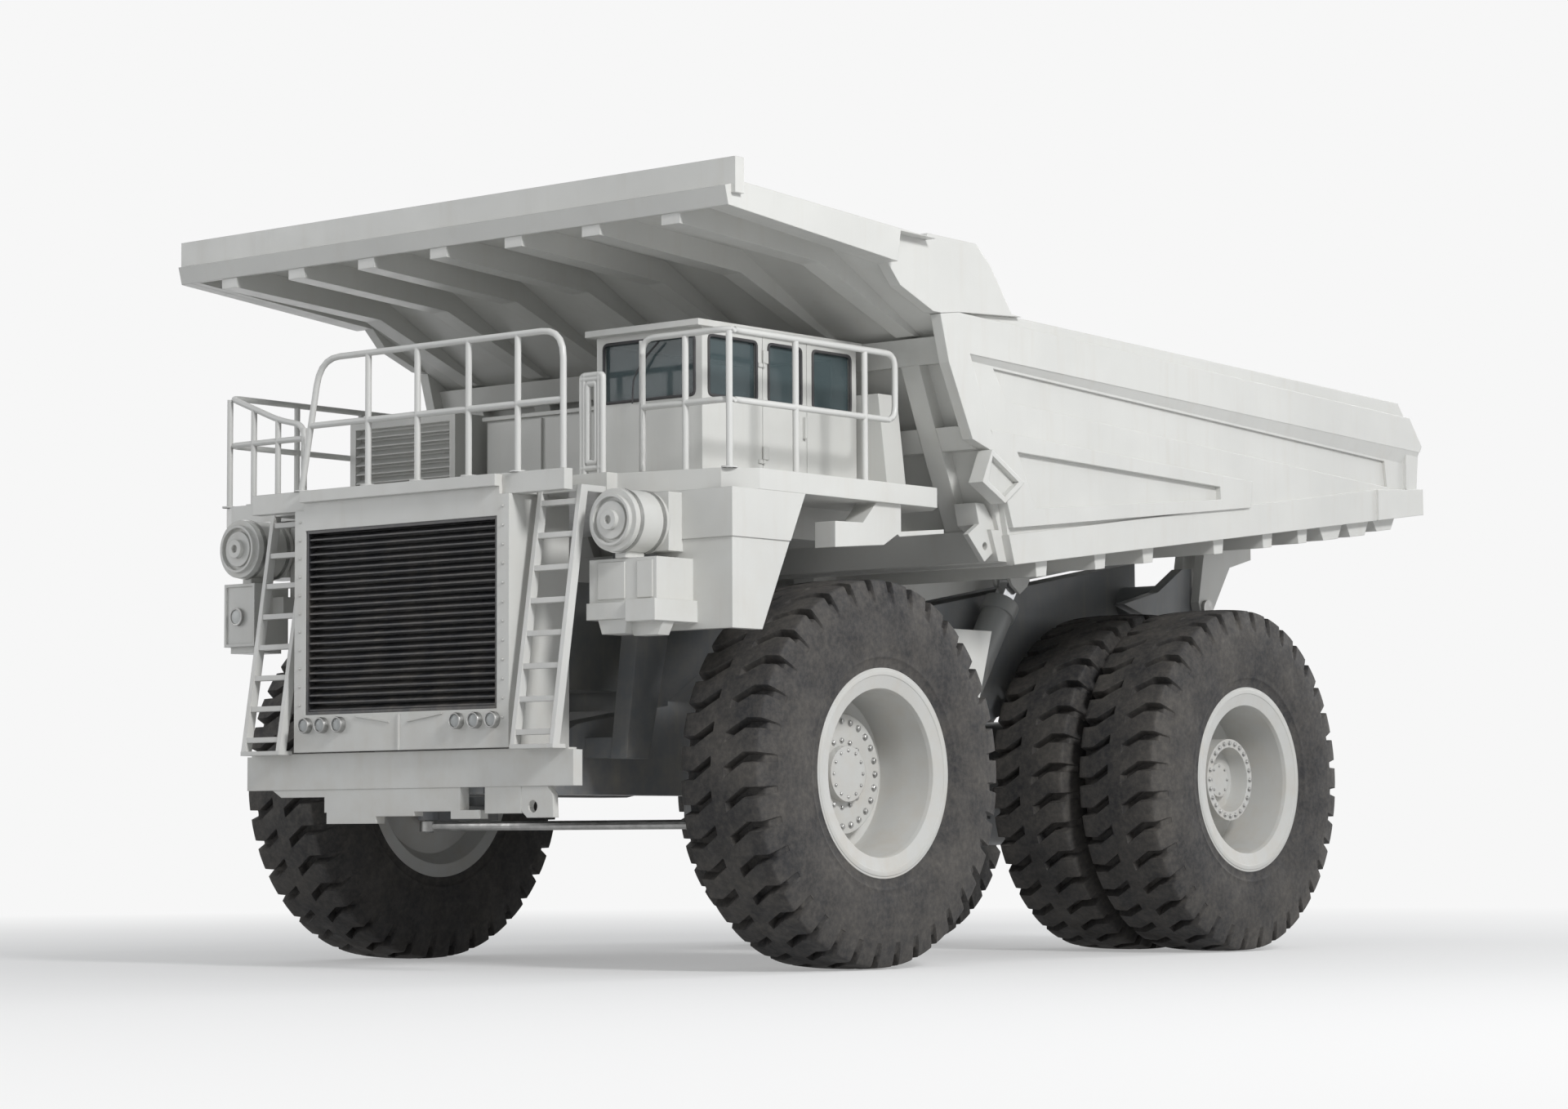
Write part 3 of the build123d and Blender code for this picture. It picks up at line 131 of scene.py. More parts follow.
# %% [markdown]
# Paint on a machine like this is a gloss enamel, but it is never one flat colour. Dust gathers on
# the lower parts, chips show near the edges that people and stones reach, and the sheen is uneven.
# Each of those is a noise pattern on Object coordinates, so it stays still when the camera moves.

# %% Node helpers
def new_material(name):
    """An empty node material with its shader and output."""
    mat = bpy.data.materials.new(name)
    mat.use_nodes = True
    tree = mat.node_tree
    tree.nodes.clear()
    out = tree.nodes.new("ShaderNodeOutputMaterial")
    bsdf = tree.nodes.new("ShaderNodeBsdfPrincipled")
    tree.links.new(bsdf.outputs["BSDF"], out.inputs["Surface"])
    return mat, tree, bsdf


def noise(tree, scale, detail=4.0, rough=0.55, stretch=(1, 1, 1)):
    """Noise on Object coordinates, stretched along the axes if asked."""
    coord = tree.nodes.new("ShaderNodeTexCoord")
    mapping = tree.nodes.new("ShaderNodeMapping")
    mapping.inputs["Scale"].default_value = stretch
    tex = tree.nodes.new("ShaderNodeTexNoise")
    tex.inputs["Scale"].default_value = scale
    tex.inputs["Detail"].default_value = detail
    tex.inputs["Roughness"].default_value = rough
    tree.links.new(coord.outputs["Object"], mapping.inputs["Vector"])
    tree.links.new(mapping.outputs["Vector"], tex.inputs["Vector"])
    return tex.outputs["Fac"]


def remap(tree, value, low, high, to_low=0.0, to_high=1.0):
    """A value's stretch from low to high, moved to another stretch and clamped."""
    node = tree.nodes.new("ShaderNodeMapRange")
    node.clamp = True
    ends = {"From Min": low, "From Max": high, "To Min": to_low, "To Max": to_high}
    for key, number in ends.items():
        node.inputs[key].default_value = number
    tree.links.new(value, node.inputs["Value"])
    return node.outputs["Result"]


def feed(tree, socket, value):
    """Give a socket its value: a link where the value is a socket, else a plain number or tuple."""
    if isinstance(value, (int, float, tuple)):
        socket.default_value = value
    else:
        tree.links.new(value, socket)


def math_node(tree, kind, a, b):
    """Sum, product or other result of two numbers, each a socket or plain."""
    node = tree.nodes.new("ShaderNodeMath")
    node.operation = kind
    feed(tree, node.inputs[0], a)
    feed(tree, node.inputs[1], b)
    return node.outputs[0]


def vector_node(tree, kind, output, a, b=None):
    """One output of a vector operation on a, or on a and b, each a socket or a plain tuple."""
    node = tree.nodes.new("ShaderNodeVectorMath")
    node.operation = kind
    feed(tree, node.inputs[0], a)
    if b is not None:
        feed(tree, node.inputs[1], b)
    return node.outputs[output]


def mix_colour(tree, factor, a, b):
    """Mix of two colours by a factor; a and b are sockets or plain colours."""
    node = tree.nodes.new("ShaderNodeMix")
    node.data_type = "RGBA"
    feed(tree, node.inputs[0], factor)
    for socket, value in ((node.inputs[6], a), (node.inputs[7], b)):
        feed(tree, socket, (*value, 1.0) if isinstance(value, tuple) else value)
    return node.outputs[2]


def mix_surface(tree, factor, a, b, target):
    """Link a mix of two shaders to a target socket."""
    mixer = tree.nodes.new("ShaderNodeMixShader")
    for socket, value in zip(mixer.inputs, (factor, a, b)):
        tree.links.new(value, socket)
    tree.links.new(mixer.outputs[0], target)


def surface_socket(tree):
    """The socket where a material's output takes its surface."""
    return next(n for n in tree.nodes if n.type == "OUTPUT_MATERIAL").inputs["Surface"]


def background_rays(tree):
    """One for rays that look at the background: from the camera, off gloss or through glass."""
    ray = tree.nodes.new("ShaderNodeLightPath")
    seen = math_node(tree, "MAXIMUM", ray.outputs["Is Camera Ray"], ray.outputs["Is Glossy Ray"])
    return math_node(tree, "MAXIMUM", seen, ray.outputs["Is Transmission Ray"])


def height_fade(tree, low, high):
    """1 at a height and below, 0 at another and above, on Object coordinates."""
    coord = tree.nodes.new("ShaderNodeTexCoord")
    split = tree.nodes.new("ShaderNodeSeparateXYZ")
    tree.links.new(coord.outputs["Object"], split.inputs[0])
    return remap(tree, split.outputs["Z"], low, high, 1.0, 0.0)


BEVEL_SAMPLES = 4


def bump(tree, bsdf, height, strength, distance, edge=0.0):
    """Small relief from a pattern; edge rounds the sharp edges for the light by that radius."""
    node = tree.nodes.new("ShaderNodeBump")
    if edge:
        round_edge = tree.nodes.new("ShaderNodeBevel")
        round_edge.samples = BEVEL_SAMPLES
        round_edge.inputs["Radius"].default_value = edge
        tree.links.new(round_edge.outputs["Normal"], node.inputs["Normal"])
    node.inputs["Strength"].default_value = strength
    node.inputs["Distance"].default_value = distance
    tree.links.new(height, node.inputs["Height"])
    tree.links.new(node.outputs["Normal"], bsdf.inputs["Normal"])


# %% Enamel paint with dust and chips
DUST = (0.52, 0.46, 0.38)
PRIMER = (0.20, 0.19, 0.18)
PATCH_TONE = 0.93  # the darker patches against the paint's own colour
DUST_FULL_Z, DUST_GONE_Z = 0.6, 5.2
RUN_STRETCH = (3.0, 3.0, 0.35)  # makes blotches into runs down a wall
CHIP_FROM, CHIP_TO = 0.715, 0.73
COAT, COAT_ROUGH = 0.25, 0.18
EDGE_R = 0.012


def enamel(name, colour, dust=0.30, chips=0.4, gloss=0.34):
    """Enamel: base colour, dust that fades with height and gathers in blotches, and small chips."""
    mat, tree, bsdf = new_material(name)
    patches = remap(tree, noise(tree, 0.8, 3.0), 0.35, 0.65)
    base = mix_colour(tree, patches, colour, tuple(c * PATCH_TONE for c in colour))
    runs = remap(tree, noise(tree, 2.2, 5.0, 0.6, RUN_STRETCH), 0.52, 0.80, 0.0, 0.5)
    low = height_fade(tree, DUST_FULL_Z, DUST_GONE_Z)
    blotch = remap(tree, noise(tree, 3.1, 6.0, 0.65), 0.42, 0.72)
    cover = math_node(tree, "ADD", math_node(tree, "MULTIPLY", low, blotch), runs)
    veil = math_node(tree, "MULTIPLY", cover, dust)
    dusty = mix_colour(tree, veil, base, DUST)
    chip = remap(tree, noise(tree, 26.0, 8.0, 0.72), CHIP_FROM, CHIP_TO, 0.0, chips)
    tree.links.new(mix_colour(tree, chip, dusty, PRIMER), bsdf.inputs["Base Color"])
    sheen = remap(tree, noise(tree, 5.0, 4.0), 0.3, 0.7, gloss - 0.05, gloss + 0.09)
    rough = math_node(tree, "ADD", sheen, math_node(tree, "MULTIPLY", veil, 0.9))
    tree.links.new(rough, bsdf.inputs["Roughness"])
    bsdf.inputs["Coat Weight"].default_value = COAT
    bsdf.inputs["Coat Roughness"].default_value = COAT_ROUGH
    bump(tree, bsdf, noise(tree, 60.0, 2.0), 0.10, 0.004, EDGE_R)
    return mat


SCRAPED, RUSTED = (0.50, 0.47, 0.43), (0.24, 0.20, 0.17)
SCRAPE_STRETCH = (7.0, 0.5, 2.0)  # draws the marks out along the truck
WEAR_EDGE = 0.02


def beyond(tree, vector, direction, limit):
    """1 where a vector's share along a direction passes a limit, 0 a little below it."""
    share = vector_node(tree, "DOT_PRODUCT", "Value", vector, direction)
    return remap(tree, share, limit - WEAR_EDGE, limit)


def worn_inside(mat, centre, planes):
    """Scraped steel in a paint, on the faces that look at the load's centre past every plane.

    A plane is given as a direction and a distance. All of it is in object space.
    """
    tree = mat.node_tree
    surface = surface_socket(tree)
    paint = surface.links[0].from_socket
    steel = tree.nodes.new("ShaderNodeBsdfPrincipled")
    scrape = noise(tree, 2.4, 6.0, 0.72, SCRAPE_STRETCH)
    tree.links.new(mix_colour(tree, scrape, SCRAPED, RUSTED), steel.inputs["Base Color"])
    steel.inputs["Metallic"].default_value = 0.6
    tree.links.new(remap(tree, scrape, 0.3, 0.7, 0.40, 0.66), steel.inputs["Roughness"])
    coord = tree.nodes.new("ShaderNodeTexCoord")
    place, normal = coord.outputs["Object"], coord.outputs["Normal"]
    to_load = vector_node(tree, "SUBTRACT", "Vector", centre, place)
    share = remap(tree, vector_node(tree, "DOT_PRODUCT", "Value", normal, to_load), 0.15, 0.25)
    for direction, limit in planes:
        share = math_node(tree, "MULTIPLY", share, beyond(tree, place, direction, limit))
    mix_surface(tree, share, paint, steel.outputs[0], surface)
    return mat


METAL_DARK = 0.72
RUBBED_DUST = (0.30, 0.27, 0.23)
GLASS_IOR = 1.5


def metal(name, colour, rough, grain=0.25, stretch=(1, 1, 1)):
    """Bare metal: a brushed or cast tone with uneven gloss."""
    mat, tree, bsdf = new_material(name)
    tone = remap(tree, noise(tree, 9.0, 6.0, 0.6, stretch), 0.3, 0.7)
    dark = tuple(c * METAL_DARK for c in colour)
    tree.links.new(mix_colour(tree, tone, colour, dark), bsdf.inputs["Base Color"])
    bsdf.inputs["Metallic"].default_value = 1.0
    gloss = remap(tree, noise(tree, 14.0, 5.0), 0.3, 0.7, rough, rough + grain)
    tree.links.new(gloss, bsdf.inputs["Roughness"])
    bump(tree, bsdf, noise(tree, 90.0, 4.0, 0.6, stretch), 0.12, 0.003)
    return mat


def rubber(name, colour, dust=0.35):
    """Tyre rubber: near black, matt, with dust rubbed into it and a fine mottle."""
    mat, tree, bsdf = new_material(name)
    low = remap(tree, noise(tree, 1.7, 6.0, 0.6), 0.38, 0.70)
    fine = remap(tree, noise(tree, 18.0, 6.0, 0.7), 0.40, 0.75)
    veil = math_node(tree, "MULTIPLY", math_node(tree, "ADD", low, fine), dust * 0.5)
    tree.links.new(mix_colour(tree, veil, colour, RUBBED_DUST), bsdf.inputs["Base Color"])
    rough = remap(tree, noise(tree, 6.0, 4.0), 0.3, 0.7, 0.62, 0.86)
    tree.links.new(rough, bsdf.inputs["Roughness"])
    bsdf.inputs["Specular IOR Level"].default_value = 0.35
    bump(tree, bsdf, noise(tree, 70.0, 6.0, 0.7), 0.25, 0.006)
    return mat


def glass(name, colour, alpha=0.35):
    """Tinted cab glass: mostly clear, with a strong reflection."""
    mat, tree, bsdf = new_material(name)
    smear = remap(tree, noise(tree, 4.0, 5.0, 0.6), 0.45, 0.75, 0.03, 0.14)
    tree.links.new(smear, bsdf.inputs["Roughness"])
    bsdf.inputs["Base Color"].default_value = (*colour, 1.0)
    bsdf.inputs["IOR"].default_value = GLASS_IOR
    bsdf.inputs["Alpha"].default_value = alpha
    return mat


WHITE = (0.67, 0.67, 0.645)
GREY = (0.36, 0.37, 0.37)
FRAME_GREY = (0.225, 0.235, 0.245)
ENGINE_GREY = (0.24, 0.25, 0.25)
RAIL_TONE = (0.69, 0.69, 0.67)
RIM_TONE = (0.58, 0.58, 0.56)
TYRE_BLACK = (0.030, 0.030, 0.032)
STEEL_TONE = (0.50, 0.50, 0.49)
CHROME_TONE = (0.80, 0.81, 0.83)
GRILLE_TONE = (0.035, 0.036, 0.04)
CAB_TINT, LENS_TINT = (0.10, 0.14, 0.15), (0.85, 0.88, 0.88)
SEAT_TONE, PLASTIC_TONE = (0.05, 0.05, 0.055), (0.06, 0.06, 0.065)
MATERIALS = {
    "white_paint": enamel("white_enamel", WHITE),
    "grey_paint": enamel("grey_enamel", GREY, 0.35),
    "dark_frame": enamel("frame_enamel", FRAME_GREY, 0.45, 0.5, 0.45),
    "rail_white": enamel("rail_enamel", RAIL_TONE, 0.22, 0.5),
    "rim_paint": enamel("rim_enamel", RIM_TONE, 0.42, 0.6),
    "tyre_rubber": rubber("tyre_rubber", TYRE_BLACK),
    "steel": metal("worn_steel", STEEL_TONE, 0.32),
    "chrome_rod": metal("chromed_rod", CHROME_TONE, 0.08, 0.06),
    "grille_black": enamel("grille_black", GRILLE_TONE, 0.30, 0.3, 0.42),
    "glass": glass("cab_glass", CAB_TINT, 0.55),
    "lamp_glass": glass("lamp_lens", LENS_TINT, 0.5),
    "seat_fabric": rubber("seat_cloth", SEAT_TONE, 0.1),
    "plastic": rubber("cab_plastic", PLASTIC_TONE, 0.15),
    "engine_paint": enamel("engine_enamel", ENGINE_GREY, 0.5, 0.5, 0.5),
}

# %% Paint the solid pieces
LOAD_CENTRE = tuple(at(0, 5.4, 5.3))
BODY_NODES = ("body_floor", "body_side_left", "body_side_right", "body_front_wall")
# The load lies behind the front wall and above the floor, which both lean, and between the sides
WALL_LEAN, WALL_FOOT = 0.409, 3.555
FLOOR_RISE, FLOOR_FOOT = -0.1255, 3.62
LOAD_HALF = 3.37
LOAD_PLANES = (((0, 1, WALL_LEAN), WALL_FOOT + FRONT_AXLE_Y),
               ((0, FLOOR_RISE, 1), FLOOR_FOOT + FLOOR_RISE * FRONT_AXLE_Y),
               ((1, 0, 0), -LOAD_HALF), ((-1, 0, 0), -LOAD_HALF))
body_paint = worn_inside(enamel("body_enamel", WHITE, 0.34), LOAD_CENTRE, LOAD_PLANES)
slot_of = {row["node"]: row["material_slot"] for row in frame["record"]["subparts"]}
for node_name, obj in nodes.items():
    for slot in obj.material_slots:
        slot.material = body_paint if node_name in BODY_NODES else MATERIALS[slot_of[node_name]]
print("painted", len(nodes), "nodes")

# %% [markdown]
# The tyres carry most of the truck's look. The tread is a rock pattern that reads the same in both
# directions of travel: thick lugs parted by narrow grooves, which slant in from each shoulder and
# end before a solid rib in the middle. A plain grid would cut across the slanting grooves and leave
# ragged edges, so the grid itself is sheared: each column turns round the wheel by its own lag.
# Then a groove's wall is a grid line, and stays crisp.

# %% Tyre sizes
LUG_COUNT = 36
LUG_DEPTH = 0.100
GROOVE_SLANT = 0.62  # rise per metre towards the shoulder
SLANT_FROM, SLANT_TO = 0.085, 0.290
# The tyre's outer line: sideways place, radius and how much of the groove depth shows there
TYRE_LINE = np.array([
    (0.000, 1.800, 0.0), (0.075, 1.800, 0.0), (0.085, 1.800, 0.75), (0.092, 1.800, 1.0),
    (0.145, 1.799, 1.0), (0.200, 1.798, 1.0), (0.250, 1.796, 1.0), (0.290, 1.794, 1.0),
    (0.340, 1.791, 1.0), (0.400, 1.786, 1.0), (0.436, 1.781, 1.0), (0.447, 1.774, 1.0),
    (0.453, 1.762, 1.0), (0.466, 1.722, 0.9), (0.480, 1.670, 0.75), (0.492, 1.620, 0.50),
    (0.499, 1.580, 0.20), (0.503, 1.560, 0.0), (0.512, 1.480, 0.0), (0.518, 1.390, 0.0),
    (0.520, 1.300, 0.0), (0.516, 1.210, 0.0), (0.508, 1.130, 0.0), (0.500, 1.085, 0.0),
    (0.502, 1.076, 0.0), (0.500, 1.066, 0.0), (0.494, 1.058, 0.0), (0.488, 1.045, 0.0),
    (0.484, 1.020, 0.0), (0.478, 0.985, 0.0), (0.478, 0.972, 0.0), (0.402, 0.971, 0.0),
    (0.400, 0.882, 0.0)])
# Where the columns of one lug pitch lie, as shares of it, and how deep the groove is there
PITCH_LINE = np.array([
    (0.00, 0.0), (0.010, 0.03), (0.18, 0.0), (0.36, 0.0), (0.54, 0.0), (0.685, 0.0),
    (0.695, 0.03), (0.740, 1.0), (0.80, 1.04), (0.88, 1.04), (0.945, 1.0)])
TYRE_SMOOTH = 32  # edges sharper than this many degrees stay sharp


# %% Tyre surface
def tyre_points(centre_x, y):
    """Tyre skin: angle = pitch place + the column's lag; radius = outer line - groove depth.

    The lag grows with the slant from rib to shoulder, and the far side's is half a pitch on.
    """
    line = np.concatenate([TYRE_LINE[::-1] * (-1, 1, 1), TYRE_LINE[1:]])
    side, radius, share = line.T
    pitch = 2 * np.pi / LUG_COUNT
    starts = np.arange(LUG_COUNT)[:, None] * pitch
    angle = (starts + PITCH_LINE[:, 0] * pitch).ravel()
    groove = np.tile(PITCH_LINE[:, 1], LUG_COUNT)
    reach = SLANT_TO - np.clip(np.abs(side), SLANT_FROM, SLANT_TO)
    lag = np.sign(side) * (reach * GROOVE_SLANT / TYRE_R - pitch / 4)
    turn = angle[:, None] + lag[None, :]
    depth = LUG_DEPTH * groove[:, None] * share[None, :]
    r = radius[None, :] - depth
    x = np.broadcast_to(centre_x + side, r.shape)
    points = np.stack([x, y + FRONT_AXLE_Y + r * np.cos(turn), TYRE_R + r * np.sin(turn)], -1)
    return points, len(angle), len(side)


def tyre_skin(centre_x, y):
    """Points and quads of one tyre, closed round the wheel."""
    points, rows, cols = tyre_points(centre_x, y)
    return points.reshape(-1, 3), grid_quads(rows, cols, wrap_rows=True)


def make_tyre(name, places, y, body, node):
    """The tyres of one wheel body, one at each place across the truck."""
    obj = mesh_from_arrays(name, *joined([tyre_skin(x, y) for x in places]))
    shade_smooth(obj, TYRE_SMOOTH)
    return finish_piece(obj, body, MATERIALS["tyre_rubber"], [node])


for side_name, sign in SIDES:
    make_tyre(f"tread_front_{side_name}", [sign * FRONT_TYRE_X], 0.0, f"wheel_front_{side_name}",
              f"tyre_front_{side_name}")
    make_tyre(f"tread_rear_{side_name}", [sign * x for x in REAR_TYRE_X], WHEELBASE,
              f"wheel_rear_{side_name}", f"tyres_rear_{side_name}")

# %% [markdown]
# Handrails are round tubes bent at their corners. A tube is a ring of points carried along a path.
# Each ring needs two directions square to the path; a fixed side direction that the path never
# follows gives both by cross products, and a round tube hides any twist between rings.

# %% Tubes, turned forms and bolts
HARDWARE_SMOOTH = 35.0  # edges sharper than this many degrees stay sharp


def bent(points, reach=0.12, steps=6):
    """A path with rounded corners: a quadratic curve from reach before one to reach after it."""
    points = [np.asarray(p, float) for p in points]
    path = [points[0]]
    for before, corner, after in zip(points, points[1:], points[2:]):
        a, b = before - corner, after - corner
        la, lb = np.linalg.norm(a), np.linalg.norm(b)
        cut = min(reach, la * 0.45, lb * 0.45)
        start, stop = corner + a / la * cut, corner + b / lb * cut
        for t in np.linspace(0, 1, steps):
            path.append((1 - t) ** 2 * start + 2 * t * (1 - t) * corner + t ** 2 * stop)
    path.append(points[-1])
    return np.array(path)


def tube(path, radius, side=(0.31, 0.87, 0.12), around=12, closed=False):
    """Skin of a tube: path point + radius * (cos a * first normal + sin a * second normal)."""
    path = np.asarray(path, float)
    ahead = np.roll(path, -1, 0) - np.roll(path, 1, 0) if closed else np.gradient(path, axis=0)
    ahead /= np.linalg.norm(ahead, axis=1, keepdims=True)
    first = np.cross(ahead, side)
    first /= np.linalg.norm(first, axis=1, keepdims=True)
    second = np.cross(ahead, first)
    a = np.linspace(0, 2 * np.pi, around, endpoint=False)[None, :, None]
    points = path[:, None] + radius * (np.cos(a) * first[:, None] + np.sin(a) * second[:, None])
    return points.reshape(-1, 3), grid_quads(len(path), around, wrap_rows=closed, wrap_cols=True)


def turned(profile, centre, axis, count=48):
    """Skin of a turned form: (along, radius) pairs carried round an axis through a centre."""
    axis = np.asarray(axis, float) / np.linalg.norm(axis)
    u = np.cross(axis, (0.0, 0.0, 1.0) if abs(axis[2]) < 0.9 else (1.0, 0.0, 0.0))
    u /= np.linalg.norm(u)
    v = np.cross(axis, u)
    along, radius = np.array(profile, float).T
    a = np.linspace(0, 2 * np.pi, count, endpoint=False)[None, :, None]
    points = (np.asarray(centre) + along[:, None, None] * axis
              + radius[:, None, None] * (np.cos(a) * u + np.sin(a) * v))
    return points.reshape(-1, 3), grid_quads(len(profile), count, wrap_cols=True)


# Lines of a bolt as shares of its size: distance along the axis and radius
WASHER_LINE = np.array([(0.0, 0.9), (0.14, 0.9), (0.14, 0.0)])
HEAD_LINE = np.array([(0.14, 0.62), (0.62, 0.62), (0.70, 0.5), (0.70, 0.0)])


def bolt(place, axis, size):
    """A hexagon bolt head on a round washer."""
    washer = turned(WASHER_LINE * size, place, axis, 18)
    head = turned(HEAD_LINE * size, place, axis, 6)
    return [washer, head]


def bolt_circle(centre, radius, count, size, side):
    """Bolts round a wheel: equal turns about X at one radius, facing the truck's side."""
    parts = []
    for turn in np.arange(count) * 2 * np.pi / count:
        place = np.asarray(centre) + radius * np.array([0, np.cos(turn), np.sin(turn)])
        parts += bolt(place, (side, 0, 0), size)
    return parts


def add(name, parts, body, slot, replaces=()):
    """One piece made of several forms, in its slot's material."""
    obj = mesh_from_arrays(name, *joined(parts))
    shade_smooth(obj, HARDWARE_SMOOTH)
    return finish_piece(obj, body, MATERIALS[slot], replaces)


# %% [markdown]
# The left fender box is put together from closed prisms. Its front and side plates meet in an
# upright corner, and the band under the deck stands a little proud of both.

# %% Left fender box
BOX_QUADS = np.array([(3, 2, 1, 0), (4, 5, 6, 7), (0, 1, 5, 4), (1, 2, 6, 5), (2, 3, 7, 6),
                      (3, 0, 4, 7)])
FENDER_X, FENDER_INNER_X, SKIN = 3.29, 2.40, 0.10
FENDER_FRONT_Y, FENDER_BACK_Y = -2.07, -2.00
FENDER_LOW_Z, FENDER_TOP_Z, BAND_Z = 3.06, 4.3097, 3.87
FENDER_REAR_Y = (-1.66, -1.06)
BAND_PROUD = 0.012


def slab(outline, axis, low, high):
    """A closed prism from low to high along an axis, 0 or 1, with four corners across it.

    Each end is the outline with its level put in on that axis, and four quads join the ends.
    """
    flat = np.asarray(outline, float)
    ends = [np.insert(flat, axis, level, axis=1) for level in (low, high)]
    points = np.concatenate(ends) + np.array([0.0, FRONT_AXLE_Y, 0.0])
    return points, BOX_QUADS if axis == 0 else BOX_QUADS[:, ::-1]


def brick(x0, x1, y0, y1, z0, z1):
    """A closed box between two places on each axis."""
    return slab([(y0, z0), (y1, z0), (y1, z1), (y0, z1)], 0, x0, x1)


def fender_skins(low, high, proud):
    """Front and side plates of the fender between two heights, with the side's raked rear edge."""
    rear = np.interp((low, high), (FENDER_LOW_Z, FENDER_TOP_Z), FENDER_REAR_Y)
    front_y, back_y, outer_x = FENDER_FRONT_Y - proud, FENDER_BACK_Y, FENDER_X + proud
    front = brick(FENDER_INNER_X, outer_x, front_y, back_y, low, high)
    outline = [(back_y, low), (rear[0], low), (rear[1], high), (back_y, high)]
    return [front, slab(outline, 0, FENDER_X - SKIN, outer_x)]


CASE_BACK_Y = FENDER_FRONT_Y + 0.02  # let into the front plate, so that no slit shows
case = brick(2.03, 2.83, -2.56, CASE_BACK_Y, 3.30, 3.69)
lids = [brick(x0, x1, -2.572, -2.54, 3.33, 3.66) for x0, x1 in ((2.14, 2.46), (2.61, 2.79))]
tray = brick(2.03, 2.54, -2.60, CASE_BACK_Y, 3.15, 3.30)
step = brick(2.53, 2.88, -2.64, CASE_BACK_Y, 3.12, 3.315)
bracket = slab([(2.51, 3.00), (2.79, 3.00), (2.86, 3.13), (2.44, 3.13)], 1, -2.50, -2.35)
foot = slab([(2.20, 3.02), (2.48, 3.02), (2.50, 3.16), (2.15, 3.16)], 1, -2.58, -2.35)
skins = fender_skins(FENDER_LOW_Z, BAND_Z, 0.0) + fender_skins(BAND_Z, FENDER_TOP_Z, BAND_PROUD)
add("fender_shell_left", skins + [case] + lids + [tray, step, bracket, foot], "chassis",
    "white_paint", ["fender_box_left"])

# %% Handrails
RAIL_R = 0.030
DECK_TOP = 4.5003
RAIL_TOP = 5.75
RAIL_MID = 5.12
CENTRE_RAIL_Y = -2.855
CENTRE_RAIL_X = (-1.40, 1.99)
# Outer side, front run, inner end and rear end of the side rails
LEFT_RAIL = (3.10, -1.88, 2.06, 0.52)
RIGHT_RAIL = (-3.20, -2.15, -2.13, 0.52)
RIGHT_TOP = 5.60
CENTRE_POSTS = (-0.50, 0.15, 0.81, 1.43)
TIP = 0.02  # a post ends this far below the middle of the rail that it carries
FOOT_LINE = [(0, 0.075), (0.014, 0.075), (0.016, 0.0)]


def foot_plate(x, y, z):
    """The round plate that bolts a post to the deck."""
    return turned(FOOT_LINE, at(x, y, z), (0, 0, 1), 20)


def post(x, y, low, high):
    """A straight post on its foot plate."""
    line = [at(x, y, low), at(x, y, (low + high) / 2), at(x, y, high)]
    return [tube(line, RAIL_R), foot_plate(x, y, low)]


def run(points, reach=0.12):
    """A rail bent at its corners."""
    return tube(bent([at(*p) for p in points], reach), RAIL_R)


def centre_railing():
    """The rail over the hood: a leaning right end, a rounded left corner and four posts."""
    y, (x0, x1) = CENTRE_RAIL_Y, CENTRE_RAIL_X
    top = [(x0, y, DECK_TOP + TIP), (x0 + 0.25, y, RAIL_TOP), (x1, y, RAIL_TOP), (x1, y, DECK_TOP)]
    parts = [run(top, 0.26)]
    parts.append(run([(x0 + 0.12, y, RAIL_MID), (0.3, y, RAIL_MID), (x1, y, RAIL_MID)]))
    for x in CENTRE_POSTS:
        parts += post(x, y, DECK_TOP, RAIL_TOP)
    parts.append(foot_plate(x0, y, DECK_TOP))
    return parts + gate_post()


def gate_post():
    """The flat slotted post beside the left ladder."""
    low, high, y, corner = DECK_TOP, 5.41, -2.31, 0.03
    left, right, cap = 1.715, 1.965, high - 0.015
    slot_low, slot_high, slot_left, slot_right = 4.60, 5.32, 1.785, 1.895
    outer = [(left, y, low), (left, y, cap), (right, y, cap), (right, y, low)]
    slot = [(slot_left, y, slot_low), (slot_left, y, slot_high), (slot_right, y, slot_high),
            (slot_right, y, slot_low), (slot_left, y, slot_low)]
    parts = [run(outer, corner), run(slot, corner)]
    for x in (1.75, 1.93):
        parts.append(run([(x, y, low), (x, y, 5.0), (x, y, high)]))
    for z in (4.55, 5.36):
        parts.append(run([(left, y, z), (1.84, y, z), (right, y, z)]))
    return parts


def left_railing():
    """The left rail: one bar along the front and side, back along the middle, and five posts."""
    x, front, inner, end = LEFT_RAIL
    parts = [run([(inner, front, DECK_TOP), (inner, front, RAIL_TOP), (x, front, RAIL_TOP),
                  (x, end, RAIL_TOP), (x, end, RAIL_MID), (x, front, RAIL_MID),
                  (inner, front, RAIL_MID)], 0.14)]
    for px, py in ((inner, front), (2.58, front), (x, front), (x, -0.95), (x, 0.06)):
        parts += post(px, py, DECK_TOP, RAIL_TOP - TIP)
    return parts


def right_railing():
    """The right rail: its top falls towards the hood, and seven posts carry it."""
    x, front, inner, end = RIGHT_RAIL
    parts = [run([(inner, front, DECK_TOP), (inner, front, 5.25), (-2.50, front, 5.33),
                  (x, front, RIGHT_TOP), (x, end, RIGHT_TOP), (x, end, DECK_TOP)])]
    parts.append(run([(inner, front, RAIL_MID), (x, front, RAIL_MID), (x, end, RAIL_MID)]))
    for px, high in ((inner, 5.22), (-2.50, 5.33), (-2.85, 5.46), (x, RIGHT_TOP - TIP)):
        parts += post(px, front, DECK_TOP, high)
    for py in (-1.25, -0.36, end):
        parts += post(x, py, DECK_TOP, RIGHT_TOP - TIP)
    return parts


